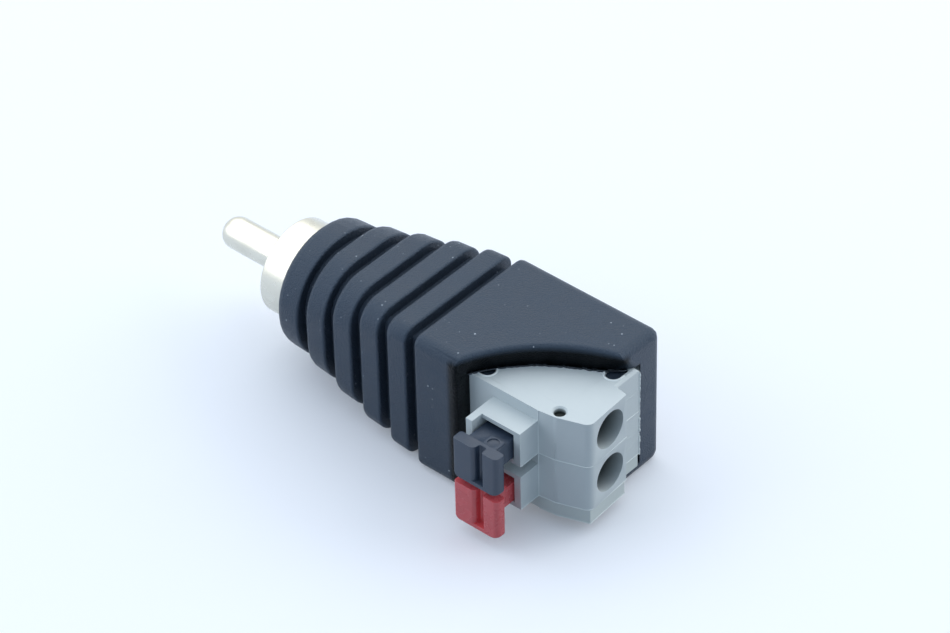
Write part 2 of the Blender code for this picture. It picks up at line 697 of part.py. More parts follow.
def make_module(name, top):
    """One terminal module: a box open at the bottom, with the button's shroud on its lever face."""
    foot_x = FOOT_CORNER.x
    bottom = top - MODULE_PITCH + STACK_GAP
    module = prism(f"terminal_module_{name}", block_outline(), bottom, top, grey_plastic)

    left = -SHROUD_LEFT
    right = left + SHROUD_WIDTH
    shroud_top = top - SHROUD_DROP
    root = LEVER_FACE + MODULE_WALL / 2
    shroud = prism(f"shroud {name}", [
        (left, LONG_WALL_END), (left + SHROUD_SIDE, LONG_WALL_END), (left + SHROUD_SIDE, SHROUD_FRONT),
        (right, SHROUD_FRONT), (right, root), (left, root),
    ], bottom, shroud_top)
    window = block(f"window {name}", (left + SHROUD_SIDE, LONG_WALL_END - mm, bottom + SHROUD_CAP),
                   (right - SHROUD_SIDE, CAVITY_SIDE + MODULE_WALL, shroud_top - SHROUD_CAP))

    near, far = CAVITY_START, BASE_LENGTH - MODULE_WALL
    cavity = prism(f"cavity {name}", [
        (LEVER_CORNER.x + MODULE_WALL, CAVITY_SIDE), (CAVITY_REAR, CAVITY_SIDE),
        (CAVITY_REAR, base_point(near, MODULE_WALL).y), base_point(near, MODULE_WALL), base_point(far, MODULE_WALL),
    ], bottom - mm, top - MODULE_TOP)

    slot_height = PIN_WIDTH / 2 + FIT
    middle = top - MODULE_PITCH / 2
    slot = prism(f"pin slot {name}", base_box(PIN_PLACE - PIN_THICKNESS / 2 - FIT, PIN_PLACE + PIN_THICKNESS / 2 + FIT,
                                              -mm, MODULE_WALL + FIT), bottom - mm, middle + slot_height)
    radius = ENTRY_DIAMETER / 2
    funnel = ENTRY_DEPTH * 0.4
    entry = turned(f"wire entry {name}", [
        (CAVITY_REAR - mm, 0), (CAVITY_REAR - mm, ENTRY_THROAT / 2), (CAVITY_REAR, ENTRY_THROAT / 2),
        (WIRE_FACE - funnel, radius), (WIRE_FACE + FACE_LEAN + mm, radius), (WIRE_FACE + FACE_LEAN + mm, 0),
    ], steps=32)
    entry.location = (0, ENTRY_CENTRE, middle + ENTRY_RISE)

    join(module, shroud)
    cut(module, cavity, window, slot, entry)
    for index, place in enumerate(PEG_PLACES):
        cut(module, prism(f"peg hole {index + 1} {name}", peg_outline(place, PEG_NECKS[index], PEG_DIAMETER / 2),
                          top - PEG_DEPTH, top + mm))
    cut(module, rod(f"probe hole {name}", PROBE_PLACE, PROBE_DIAMETER / 2, top - PROBE_DEPTH, top + mm, steps=16))
    if name == "upper":
        cut(module, rod(f"probe chamfer {name}", PROBE_PLACE, PROBE_DIAMETER / 2, top - PROBE_CHAMFER, top + PROBE_CHAMFER,
                        steps=16, top_radius=PROBE_DIAMETER / 2 + 2 * PROBE_CHAMFER))
        chamfer = [(foot_x, top - FOOT_CHAMFER), (foot_x + mm, top - FOOT_CHAMFER - mm), (foot_x + mm, top + mm),
                   (foot_x - FOOT_CHAMFER - mm, top + mm)]
        cut(module, prism(f"foot chamfer {name}", chamfer, FOOT_START, FOOT_END + mm, axis="Y"),
            corner_cutter(f"foot corner {name}", FOOT_END, top, FOOT_TOP_ROUND, foot_x - 2 * mm, foot_x + mm))
    smooth(module)
    return module


def make_end_plate():
    top = BLOCK_TOP - 2 * MODULE_PITCH
    plate = prism("terminal_end_plate", block_outline(END_PLATE_INSET, sharp=True), BLOCK_BOTTOM, top, grey_plastic)
    smooth(plate)


def make_button(colour, top, finish):
    """A push button: a stem that slides in the shroud, and a finger plate with two lobes across its end."""
    name = f"button_{colour}"
    stem_top = top - STEM_DROP
    head_top = stem_top + HEAD_RISE
    head_bottom = head_top - HEAD_HEIGHT
    left = SHROUD_CENTRE - HEAD_WIDTH / 2 + HEAD_OFFSET
    right = left + HEAD_WIDTH
    rings = []
    for step in range(FILLET_STEPS + 1):
        turn = math.pi / 2 * step / FILLET_STEPS
        inset = HEAD_LOWER_CORNER * (1 - math.sin(turn))
        outline = rounded([
            (left + inset, HEAD_FRONT, HEAD_CORNERS[0]), (right - inset, HEAD_FRONT, HEAD_CORNERS[1]),
            (right - inset, HEAD_BACK, HEAD_BACK_CORNER), (left + inset, HEAD_BACK, HEAD_BACK_CORNER),
        ])
        level = head_bottom + HEAD_LOWER_CORNER * (1 - math.cos(turn))
        rings.append([Vector((point.x, point.y, level)) for point in outline])
    rings.append([Vector((point.x, point.y, head_top)) for point in outline])
    head = loft(name, rings, finish)
    middle = (left + right) / 2 + HEAD_GROOVE_SHIFT
    near, far = middle - HEAD_GROOVE / 2, middle + HEAD_GROOVE / 2
    near_lip, far_lip = HEAD_GROOVE_LIPS
    skim = 0.02 * mm
    groove = prism(f"finger groove {colour}", rounded([
        (near - 1.5 * near_lip, HEAD_FRONT - mm, 0), (near - 1.5 * near_lip, HEAD_FRONT - skim, 0),
        (near, HEAD_FRONT + skim, near_lip), (near, HEAD_FRONT + HEAD_GROOVE_DEPTH, HEAD_GROOVE_CORNER),
        (far, HEAD_FRONT + HEAD_GROOVE_DEPTH, HEAD_GROOVE_CORNER), (far, HEAD_FRONT + skim, far_lip),
        (far + 1.5 * far_lip, HEAD_FRONT - skim, 0), (far + 1.5 * far_lip, HEAD_FRONT - mm, 0),
    ]), head_bottom + HEAD_LEDGE, head_top + mm)

    stem_right = -SHROUD_LEFT + SHROUD_WIDTH - SHROUD_SIDE - SLIDE
    stem_left = stem_right - STEM_WIDTH
    stem = block(f"stem {colour}", (stem_left, HEAD_BACK - HEAD_BACK_CORNER, stem_top - STEM_HEIGHT),
                 (stem_right, STEM_END, stem_top))
    tile_right = stem_right - TILE_SIDE
    tile = block(f"tile {colour}", (tile_right - TILE_WIDTH, HEAD_BACK - HEAD_BACK_CORNER, stem_top - HEAD_RISE),
                 (tile_right, HEAD_BACK + TILE_LENGTH, head_top - TILE_SUNK))
    recess_place = (tile_right - TILE_WIDTH / 2, HEAD_BACK + TILE_LENGTH / 2)
    recess = rod(f"tile recess {colour}", recess_place, TILE_RECESS, stem_top, head_top + mm, steps=16)
    cut(head, groove)
    join(head, stem, tile)
    cut(head, recess)
    smooth(head)
    set_origin(head, (SHROUD_CENTRE, HEAD_BACK, stem_top - STEM_HEIGHT / 2))
    return head


def make_contact(name, top):
    """Contact bar along the module's base, with its solder pin out through the base."""
    middle = top - MODULE_PITCH / 2
    start = MODULE_WALL + FIT
    bar = prism(f"contact_bar_{name}", base_box(BAR_START, BAR_START + BAR_LENGTH, start, start + BAR_THICKNESS),
                middle - STRIP_WIDTH / 2, middle + STRIP_WIDTH / 2, tinned_brass)
    pin = prism(f"solder pin {name}", base_box(PIN_PLACE - PIN_THICKNESS / 2, PIN_PLACE + PIN_THICKNESS / 2,
                                               -PIN_REACH, start + BAR_THICKNESS / 2),
                middle - PIN_WIDTH / 2, middle + PIN_WIDTH / 2)
    join(bar, pin)
    return start + BAR_THICKNESS


def make_spring(name, top, seat):
    """Clamp spring: one leg lies on the contact bar, the other stands where the button's stem presses it."""
    middle = top - MODULE_PITCH / 2
    half = SPRING_THICKNESS / 2
    fixed = seat + FIT + half
    start = base_point(SPRING_START, fixed)
    leg = SPRING_FACE + half
    reach = (start.y - leg) / math.sin(BASE_TURN)
    bend = start + BASE_ALONG * reach
    nose = -SHROUD_LEFT + SHROUD_WIDTH - SHROUD_SIDE
    path = rounded([(*start, 0), (*bend, SPRING_BEND), (nose, leg, SPRING_NOSE_BEND),
                    (nose + SPRING_NOSE, leg + SPRING_NOSE, 0)], steps=8)
    left_side = offset_path(path, half)
    right_side = offset_path(path, -half)
    prism(f"clamp_spring_{name}", left_side + right_side[::-1], middle - STRIP_WIDTH / 2, middle + STRIP_WIDTH / 2,
          spring_steel)


def offset_path(path, distance):
    """Copy of an open path, moved sideways by distance."""
    moved = []
    for index, place in enumerate(path):
        before = path[max(index - 1, 0)]
        after = path[min(index + 1, len(path) - 1)]
        way = (after - before).normalized()
        into = (place - before).normalized() if index else way
        lean = max(into.dot(way), 0.5)
        moved.append(place + Vector((-way.y, way.x)) * distance / lean)
    return moved


def board_places():
    """Distances from the block's base to the board's two faces, on the side away from the block."""
    near = -BOARD_STANDOFF
    return near, near - BOARD_THICKNESS


def make_board():
    near, back = board_places()
    board = prism("circuit_board", base_box(BOARD_START, BOARD_START + BOARD_LENGTH, near, back),
                  BLOCK_MIDDLE - BOARD_HEIGHT / 2, BLOCK_MIDDLE + BOARD_HEIGHT / 2, laminate)
    for name, side in (("upper", 1), ("lower", -1)):
        middle = BLOCK_MIDDLE + side * MODULE_PITCH / 2
        hole = prism(f"board hole {name}", base_box(PIN_PLACE - PIN_THICKNESS / 2 - FIT,
                                                    PIN_PLACE + PIN_THICKNESS / 2 + FIT, mm, back - mm),
                     middle - PIN_WIDTH / 2 - FIT, middle + PIN_WIDTH / 2 + FIT)
        cut(board, hole)


def core_matrix():
    """Place of the transformer's core: its axis stands on the board."""
    back = board_places()[1]
    centre = base_point(CORE_PLACE, back - FIT - WINDING_WIRE - FIT - CORE_LENGTH / 2)
    outward = -BASE_INWARD
    axis = Vector((outward.x, outward.y, 0))
    along = Vector((BASE_ALONG.x, BASE_ALONG.y, 0))
    up = axis.cross(along)
    turn = Matrix((along, up, axis)).transposed().to_4x4()
    return Matrix.Translation((centre.x, centre.y, BLOCK_MIDDLE)) @ turn


def make_transformer():
    """Ferrite ring with two windings, one on each half."""
    outer, inner = CORE_DIAMETER / 2, CORE_BORE / 2
    half = CORE_LENGTH / 2
    profile = rounded([(inner, half, CORE_ROUND), (outer, half, CORE_ROUND), (outer, -half, CORE_ROUND),
                       (inner, -half, CORE_ROUND)], steps=2)
    core = turned("ferrite_core", [(-point.y, point.x) for point in profile], ferrite, closed=True, steps=28)
    place = core_matrix()
    core.rotation_mode = "QUATERNION"
    core.matrix_local = place
    for name, middle_turn in (("line_winding", 0.0), ("plug_winding", math.pi)):
        make_winding(name, place, middle_turn)


def make_winding(name, place, middle_turn):
    """Enamelled wire wound round one half of the core: a helix with a squared section."""
    steps = WINDING_TURNS * 12
    centre = (CORE_DIAMETER + CORE_BORE) / 4
    gap = WINDING_WIRE / 2 + 2 * FIT
    half_width = (CORE_DIAMETER - CORE_BORE) / 4 + gap
    half_height = CORE_LENGTH / 2 + gap
    spread = math.radians(125)
    points = []
    for step in range(steps + 1):
        share = step / steps
        turn = 2 * math.pi * WINDING_TURNS * share
        around = middle_turn + spread * (share - 0.5)
        across = math.copysign(abs(math.cos(turn)) ** 0.6, math.cos(turn))
        rise = math.copysign(abs(math.sin(turn)) ** 0.6, math.sin(turn))
        radius = centre + half_width * across
        points.append(place @ Vector((radius * math.cos(around), radius * math.sin(around), half_height * rise)))
    wire(name, points, WINDING_WIRE, enamelled_copper, resolution=1)


def wire(name, points, diameter, finish, resolution=2):
    """Round wire along points."""
    curve = bpy.data.curves.new(name, "CURVE")
    curve.dimensions = "3D"
    curve.bevel_depth = diameter / 2
    curve.bevel_resolution = resolution
    curve.use_fill_caps = True
    spline = curve.splines.new("POLY")
    spline.points.add(len(points) - 1)
    for point, place in zip(spline.points, points):
        point.co = (*place, 1)
    item = curve_to_mesh(name, curve, Matrix.Identity(4), finish)
    item.data.shade_smooth()
    return item


def lead_route(start, bend_end, end):
    """Route of a lead: off the board at a right angle, round a bend, then straight along the wire passage."""
    away = -BASE_INWARD * LEAD_PULL
    pulls = (start, start + Vector((away.x, away.y, 0)), bend_end + Vector((LEAD_PULL, 0, 0)), bend_end)
    steps = 16
    route = []
    for step in range(steps + 1):
        share = step / steps
        weights = ((1 - share) ** 3, 3 * share * (1 - share) ** 2, 3 * share ** 2 * (1 - share), share ** 3)
        route.append(sum((place * weight for place, weight in zip(pulls, weights)), Vector((0, 0, 0))))
    return route + [end]


def make_leads(pin_end, tail_top):
    """Insulated leads from the board to the pin's solder cup and to the ground lug."""
    place = base_point(BOARD_START + BOARD_LENGTH - LEAD_DIAMETER / 2, board_places()[1] - FIT)
    for name, side, level, end_x, diameter, finish in (
            ("signal_lead", 1, 0.0, pin_end - CUP_DIAMETER + FIT, LEAD_DIAMETER, red_sheath),
            ("ground_lead", -1, tail_top + GROUND_LEAD_DIAMETER / 2 + FIT, pin_end + 2 * FIT, GROUND_LEAD_DIAMETER,
             black_sheath)):
        start = Vector((place.x, place.y, BLOCK_MIDDLE + side * (BOARD_HEIGHT - LEAD_DIAMETER) / 2))
        route = lead_route(start, Vector((-CHAMBER_FRONT, 0, level)), Vector((end_x, 0, level)))
        wire(name, route, diameter, finish)


make_housing()
make_leads(*make_plug())
for index, (module_name, button_colour, button_finish) in enumerate((
        ("upper", "black", dark_plastic), ("lower", "red", red_plastic))):
    module_top = BLOCK_TOP - index * MODULE_PITCH
    make_module(module_name, module_top)
    make_button(button_colour, module_top, button_finish)
    spring_seat = make_contact(module_name, module_top)
    make_spring(module_name, module_top, spring_seat)
make_end_plate()
make_board()
make_transformer()

# The origin goes to the bottom centre of the bounding box: pin's tip to wire face, buttons to far side
tip_x = FRONT_FACE - PIN_TIP
frame.location = (-(tip_x + WIRE_FACE + FACE_LEAN) / 2, -(HEAD_FRONT + HALF_WIDTH) / 2, HALF_HEIGHT)
bpy.context.view_layer.update()
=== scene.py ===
# Looks of the RCA balun connector: finishes for every piece, and the photograph's camera and light.
import math

import bmesh
import bpy
from mathutils import Matrix, Vector


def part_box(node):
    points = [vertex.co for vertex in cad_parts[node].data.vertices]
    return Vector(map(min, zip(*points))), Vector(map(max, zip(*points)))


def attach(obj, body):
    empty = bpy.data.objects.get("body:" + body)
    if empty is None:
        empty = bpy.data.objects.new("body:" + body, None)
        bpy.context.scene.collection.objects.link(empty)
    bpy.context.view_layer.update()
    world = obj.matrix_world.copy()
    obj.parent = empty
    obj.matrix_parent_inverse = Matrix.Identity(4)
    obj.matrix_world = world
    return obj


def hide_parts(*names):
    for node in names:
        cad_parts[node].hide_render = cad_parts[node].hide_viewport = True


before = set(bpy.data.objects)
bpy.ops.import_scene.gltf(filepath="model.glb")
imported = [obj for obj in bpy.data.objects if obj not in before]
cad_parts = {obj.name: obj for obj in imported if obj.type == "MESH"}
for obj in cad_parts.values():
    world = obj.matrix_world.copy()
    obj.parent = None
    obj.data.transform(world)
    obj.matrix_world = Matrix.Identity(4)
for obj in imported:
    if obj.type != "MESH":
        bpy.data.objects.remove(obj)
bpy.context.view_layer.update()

mm = 0.001
rear = (21.8, 1.95, 7.55)  # where the plug's axis meets the housing's rear face, in mm
rearFace = Vector(rear) * mm
blockTop = 12.7 * mm
joinReach = 0.002 * mm  # corners of a CAD mesh that are nearer than this are one corner
levelReach = 0.01 * mm  # heights that are nearer than this are the same height
flatAngle = math.radians(0.4)  # faces whose slopes differ by less are one flat face


def srgb(code):
    values = [int(code[i:i + 2], 16) / 255 for i in (1, 3, 5)]
    return tuple(v / 12.92 if v <= 0.04045 else ((v + 0.055) / 1.055) ** 2.4 for v in values) + (1.0,)


def fillSockets(tree, node, values):
    for socket, value in values.items():
        if isinstance(value, bpy.types.NodeSocket):
            tree.links.new(value, node.inputs[socket])
        else:
            node.inputs[socket].default_value = value


def addNode(tree, kind, settings=None, values=None):
    node = tree.nodes.new(kind)
    for name, value in (settings or {}).items():
        setattr(node, name, value)
    fillSockets(tree, node, values or {})
    return node


def startMaterial(name):
    material = bpy.data.materials.new(name)
    material.use_nodes = True
    tree = material.node_tree
    place = addNode(tree, "ShaderNodeTexCoord").outputs["Object"]
    return material, tree, tree.nodes["Principled BSDF"], place


# Black ABS, injection moulded in a spark-eroded tool: the pits break the light into a fine satin grain,
# the melt's flow leaves a slow mottle, and pale dust rests on the skin.
# The pits are drawn coarse enough to show
mouldedAbs = {
    # the blue reflection tint is a painted reflection of cool light
    "deep": "#232c37", "worn": "#2f3a47", "dust": "#b4bdc6", "mottle": 2.2 * mm, "roughness": (0.32, 0.46),
    "grain": 0.16 * mm, "grainDepth": 0.14 * mm, "dustCell": 0.55 * mm, "dustSize": 0.16, "dustShare": 0.35,
    # the pocket's colour and reflection tint on the next line are painted shade on the pocket's walls:
    # near-black, with a darker reflection
    "dustFade": 2.5, "paintedReflectionTint": "#c4deff", "pocket": "#080b0e", "pocketTint": "#3c4853",
    "pocketTop": 14.85 * mm, "pocketReach": 1.0 * mm, "pocketSide": 11.2 * mm, "acrossBlend": 0.5 * mm,
    "heightBlend": 0.6 * mm, "footBelow": 0.05 * mm,
}


# Foot of the arc wall on the block's top, in mm from the rear face: it steps back towards both of its ends
arcFoot = {
    "start": (-10.95, -7.5), "end": (0.0, 2.4), "sagitta": 1.75, "first": 0.125, "last": 0.965,
    "level": 5.16, "steps": 48, "back": 0.65, "backLength": 9.0, "backRamp": 1.75, "aside": 1.4,
    "asideLength": 3.5,
}


def arcCircle():
    start, end = Vector(arcFoot["start"]), Vector(arcFoot["end"])
    chord = end - start
    left = Vector((-chord.y, chord.x)).normalized()
    sagitta = arcFoot["sagitta"]
    radius = ((chord.length / 2) ** 2 + sagitta ** 2) / (2 * sagitta)
    return (start + end) / 2 - left * (radius - sagitta), radius


def pocketShare(tree, place):
    # 1 on the pocket's walls round the block, which look nearly black: painted shade, a darker colour and a
    # darker reflection tint; 1 on the pocket's walls round the block, which look nearly black: painted
    # darker, the cause isn't known
    centre, radius = arcCircle()
    near = addNode(tree, "ShaderNodeVectorMath", {"operation": "SUBTRACT"},
                   {0: place, 1: rearFace + centre.to_3d() * mm}).outputs["Vector"]
    flat = addNode(tree, "ShaderNodeVectorMath", {"operation": "MULTIPLY"},
                   {0: near, 1: (1.0, 1.0, 0.0)}).outputs["Vector"]
    reach = addNode(tree, "ShaderNodeVectorMath", {"operation": "LENGTH"}, {0: flat}).outputs["Value"]
    limit = radius * mm + mouldedAbs["pocketReach"]
    inside = addNode(tree, "ShaderNodeMapRange", None,
                     {"Value": reach, "From Min": limit,
                      "From Max": limit - mouldedAbs["acrossBlend"]}).outputs["Result"]
    spot = addNode(tree, "ShaderNodeSeparateXYZ", None, {"Vector": place})
    height = spot.outputs["Z"]
    below = addNode(tree, "ShaderNodeMapRange", None, {
        "Value": height, "From Min": mouldedAbs["pocketTop"],
        "From Max": mouldedAbs["pocketTop"] - mouldedAbs["heightBlend"]}).outputs["Result"]
    above = addNode(tree, "ShaderNodeMath", {"operation": "GREATER_THAN"},
                    {0: height, 1: blockTop - mouldedAbs["footBelow"]}).outputs["Value"]
    beside = addNode(tree, "ShaderNodeMath", {"operation": "LESS_THAN"},
                     {0: spot.outputs["X"], 1: mouldedAbs["pocketSide"]}).outputs["Value"]
    above = addNode(tree, "ShaderNodeMath", {"operation": "MAXIMUM"}, {0: above, 1: beside}).outputs["Value"]
    inside = addNode(tree, "ShaderNodeMath", {"operation": "MULTIPLY"},
                     {0: inside, 1: above}).outputs["Value"]
    return addNode(tree, "ShaderNodeMath", {"operation": "MULTIPLY"}, {0: inside, 1: below}).outputs["Value"]


def makeMouldedAbs():
    look = mouldedAbs
    material, tree, shader, place = startMaterial("moulded_black_abs")
    mottle = addNode(tree, "ShaderNodeTexNoise", None,
                     {"Vector": place, "Scale": 1 / look["mottle"], "Detail": 4.0,
                      "Roughness": 0.6}).outputs["Fac"]
    skin = addNode(tree, "ShaderNodeMix", {"data_type": "RGBA"},
                   {0: mottle, 6: srgb(look["deep"]), 7: srgb(look["worn"])}).outputs[2]
    cells = addNode(tree, "ShaderNodeTexVoronoi", None, {"Vector": place, "Scale": 1 / look["dustCell"]})
    chance = addNode(tree, "ShaderNodeSeparateColor", None, {"Color": cells.outputs["Color"]})
    reach = addNode(tree, "ShaderNodeMapRange", None, {
        "Value": chance.outputs["Red"], "From Min": look["dustShare"], "From Max": 1.0, "To Min": 0.0,
        "To Max": look["dustSize"]})
    speck = addNode(tree, "ShaderNodeMath", {"operation": "LESS_THAN"},
                    {0: cells.outputs["Distance"], 1: reach.outputs["Result"]}).outputs["Value"]
    paleness = addNode(tree, "ShaderNodeMath", {"operation": "POWER"},
                       {0: chance.outputs["Green"], 1: look["dustFade"]}).outputs["Value"]
    speck = addNode(tree, "ShaderNodeMath", {"operation": "MULTIPLY"},
                    {0: speck, 1: paleness}).outputs["Value"]
    colour = addNode(tree, "ShaderNodeMix", {"data_type": "RGBA"},
                     {0: speck, 6: skin, 7: srgb(look["dust"])}).outputs[2]
    gloss = addNode(tree, "ShaderNodeMapRange", None, {
        "Value": mottle, "From Min": 0.3, "From Max": 0.7, "To Min": look["roughness"][0],
        "To Max": look["roughness"][1]})
    grain = addNode(tree, "ShaderNodeTexNoise", None,
                    {"Vector": place, "Scale": 1 / look["grain"], "Detail": 3.0,
                     "Roughness": 0.6}).outputs["Fac"]
    relief = addNode(tree, "ShaderNodeBump", None,
                     {"Height": grain, "Strength": 0.8, "Distance": look["grainDepth"]})
    # painted shade: the pocket's walls get a near-black colour and a darker reflection tint
    paintedShade = pocketShare(tree, place)
    colour = addNode(tree, "ShaderNodeMix", {"data_type": "RGBA"},
                     {0: paintedShade, 6: colour, 7: srgb(look["pocket"])}).outputs[2]
    # reflection tint: painted reflection of cool light, turned darker on the pocket's walls as painted shade
    paintedReflectionTint = addNode(tree, "ShaderNodeMix", {"data_type": "RGBA"},
                   {0: paintedShade, 6: srgb(look["paintedReflectionTint"]), 7: srgb(look["pocketTint"])}).outputs[2]
    fillSockets(tree, shader, {"Base Color": colour, "IOR": 1.54, "Specular Tint": paintedReflectionTint, "Metallic": 0.0,
                               "Roughness": gloss.outputs["Result"], "Normal": relief.outputs["Normal"]})
    return material


# The same black ABS as a ragged bead along the terminal block: taken for flash, which sets smooth and glossy. Its
# near-black colour, darker than the ABS, is painted shade in the crease at the wall's foot, and its reflections
# are tinted blue as painted reflection
shadedGlossyFlash = {"colour": "#07090b", "paintedReflectionTint": "#c4deff", "ripple": 0.35 * mm, "roughness": (0.14, 0.30)}


def makeGlossyFlash():
    look = shadedGlossyFlash
    material, tree, shader, place = startMaterial("glossy_abs_flash_painted_shade")
    ripple = addNode(tree, "ShaderNodeTexNoise", None,
                     {"Vector": place, "Scale": 1 / look["ripple"], "Detail": 1.0}).outputs["Fac"]
    gloss = addNode(tree, "ShaderNodeMapRange", None, {
        "Value": ripple, "From Min": 0.3, "From Max": 0.7, "To Min": look["roughness"][0],
        "To Max": look["roughness"][1]})
    relief = addNode(tree, "ShaderNodeBump", None,
                     {"Height": ripple, "Strength": 0.4, "Distance": 0.04 * mm})
    fillSockets(tree, shader,
                {"Base Color": srgb(look["colour"]), "IOR": 1.54, "Specular Tint": srgb(look["paintedReflectionTint"]),
                               "Roughness": gloss.outputs["Result"],
                               "Normal": relief.outputs["Normal"]})
    return material


# Nickel plated over turned brass: warm pale metal, with the lathe tool's fine rings round the axis.
# The rings are drawn coarse enough to show
nickelPlate = {"light": "#e0dfd4", "dull": "#cbcabf", "feed": 0.10 * mm, "haze": 1.6 * mm,
               "roughness": (0.22, 0.38)}


def makeNickelPlate():
    look = nickelPlate
    material, tree, shader, place = startMaterial("nickel_plated_brass")
    rings = addNode(tree, "ShaderNodeMapping", None,
                    {"Vector": place, "Scale": (1.0, 0.01, 0.01)}).outputs["Vector"]
    rings = addNode(tree, "ShaderNodeTexNoise", None,
                    {"Vector": rings, "Scale": 1 / look["feed"], "Detail": 2.0}).outputs["Fac"]
    haze = addNode(tree, "ShaderNodeTexNoise", None,
                   {"Vector": place, "Scale": 1 / look["haze"], "Detail": 3.0}).outputs["Fac"]
    colour = addNode(tree, "ShaderNodeMix", {"data_type": "RGBA"},
                     {0: haze, 6: srgb(look["light"]), 7: srgb(look["dull"])})
    gloss = addNode(tree, "ShaderNodeMapRange", None, {
        "Value": haze, "From Min": 0.3, "From Max": 0.7, "To Min": look["roughness"][0],
        "To Max": look["roughness"][1]})
    relief = addNode(tree, "ShaderNodeBump", None,
                     {"Height": rings, "Strength": 0.15, "Distance": 0.01 * mm})
    fillSockets(tree, shader,
                {"Base Color": colour.outputs[2], "Metallic": 1.0, "Roughness": gloss.outputs["Result"],
                               "Normal": relief.outputs["Normal"]})
    return material


# The other finishes share one recipe: a slow drift of colour and gloss, and a fine grain in the surface
plainFinishes = {
    # polyamide, moulded in a polished tool: an even satin, slightly cloudy along the flow
    "grey": {"name": "moulded_grey_polyamide", "low": "#c1cacc", "high": "#cad2d3", "ior": 1.53,
             "roughness": (0.42, 0.54), "drift": 1.9 * mm, "grain": 0.10 * mm, "depth": 0.006 * mm},
    # the end plate, of the same polyamide, drawn a little greener and a little lighter: the lighter tone is
    # painted light
    "plateGreyPaintedLight": {"name": "moulded_end_plate_polyamide", "low": "#c6cfcd", "high": "#ced6d3", "ior": 1.53,
                  "roughness": (0.42, 0.54), "drift": 1.9 * mm, "grain": 0.10 * mm, "depth": 0.006 * mm},
    # thin edges and flash of the same polyamide, drawn paler: painted highlight where thin edges catch light
    "greyHighlight": {"name": "grey_polyamide_painted_highlight", "low": "#d6dfdf", "high": "#e2e8e8", "ior": 1.53,
                  "roughness": (0.35, 0.45), "drift": 0.6 * mm, "grain": 0.10 * mm, "depth": 0.006 * mm},
    "dark": {"name": "moulded_dark_polyamide", "low": "#2c394b", "high": "#374557", "ior": 1.53,
             "roughness": (0.38, 0.50), "drift": 0.9 * mm, "grain": 0.16 * mm, "depth": 0.02 * mm},
    "red": {"name": "moulded_red_polyamide", "low": "#c84d52", "high": "#d6595e", "ior": 1.53,
            "roughness": (0.22, 0.34), "drift": 0.9 * mm, "grain": 0.16 * mm, "depth": 0.02 * mm},
    # tin over stamped brass: soft grey metal, dull where it was handled
    "tinnedBrass": {"name": "tin_plated_brass", "low": "#b9b6ab", "high": "#cac7bd", "metallic": 1.0,
                    "ior": 1.5, "roughness": (0.30, 0.46), "drift": 0.9 * mm, "grain": 0.08 * mm,
                    "depth": 0.004 * mm},
    # spring steel, cold rolled: bright and slightly blue
    "springSteel": {"name": "rolled_spring_steel", "low": "#a9adb2", "high": "#bfc3c7", "metallic": 1.0,
                    "ior": 1.5, "roughness": (0.20, 0.32), "drift": 1.4 * mm, "grain": 0.05 * mm,
                    "depth": 0.003 * mm},
    # acetal, turned from white rod
    "whiteAcetal": {"name": "turned_white_acetal", "low": "#dcd8cc", "high": "#e5e2d7", "ior": 1.48,
                    "roughness": (0.42, 0.55), "drift": 1.2 * mm, "grain": 0.10 * mm, "depth": 0.005 * mm},
    # glass epoxy board under green solder mask: the glass weave shows as a soft relief
    "glassEpoxy": {"name": "solder_masked_glass_epoxy", "low": "#1c5a38", "high": "#226641", "ior": 1.55,
                   "roughness": (0.25, 0.38), "drift": 0.8 * mm, "grain": 0.25 * mm, "depth": 0.012 * mm},
    # ferrite, pressed and sintered: dull dark grey with a gritty skin
    "ferrite": {"name": "sintered_ferrite", "low": "#303134", "high": "#3d3e42", "ior": 1.6,
                "roughness": (0.55, 0.72), "drift": 0.5 * mm, "grain": 0.07 * mm, "depth": 0.012 * mm},
    # enamel on drawn copper wire
    "enamelledCopper": {"name": "enamelled_copper_wire", "low": "#a85a2c", "high": "#c47340",
                        "metallic": 1.0, "ior": 1.5, "roughness": (0.20, 0.30), "drift": 0.7 * mm,
                        "grain": 0.10 * mm, "depth": 0.002 * mm},
    # tin solder, frozen from the melt
    "solder": {"name": "tin_solder", "low": "#b7b9ba", "high": "#cfd1d1", "metallic": 1.0, "ior": 1.5,
               "roughness": (0.22, 0.38), "drift": 0.3 * mm, "grain": 0.12 * mm, "depth": 0.006 * mm},
    # extruded PVC sheaths
    "redSheath": {"name": "extruded_red_pvc", "low": "#a02320", "high": "#b02b27", "ior": 1.53,
                  "roughness": (0.35, 0.45), "drift": 1.5 * mm, "grain": 0.10 * mm, "depth": 0.004 * mm},
    "blackSheath": {"name": "extruded_black_pvc", "low": "#17181a", "high": "#202124", "ior": 1.53,
                    "roughness": (0.35, 0.45), "drift": 1.5 * mm, "grain": 0.10 * mm, "depth": 0.004 * mm},
}


# Bores in the grey modules, in mm from the rear face. They look darker the deeper, so they are painted so:
# it stands in for the weaker light inside them, and isn't a known stain
shadedBores = {
    "upper_entry": {"across": (0.0, 1.0, 1.0), "along": "X", "axis": (0.0, -1.62, 2.80), "radius": 1.95,
                    "mouth": 1.72, "deep": -0.45},
    "lower_entry": {"across": (0.0, 1.0, 1.0), "along": "X", "axis": (0.0, -1.62, -2.20), "radius": 1.95,
                    "mouth": 1.72, "deep": -0.45},
    "probe_hole": {"across": (1.0, 1.0, 0.0), "along": "Z", "axis": (-1.38, -4.65, 0.0), "radius": 0.62,
                   "mouth": 5.05, "deep": 4.60},
}
paintedBoreShade = "#2c3331"


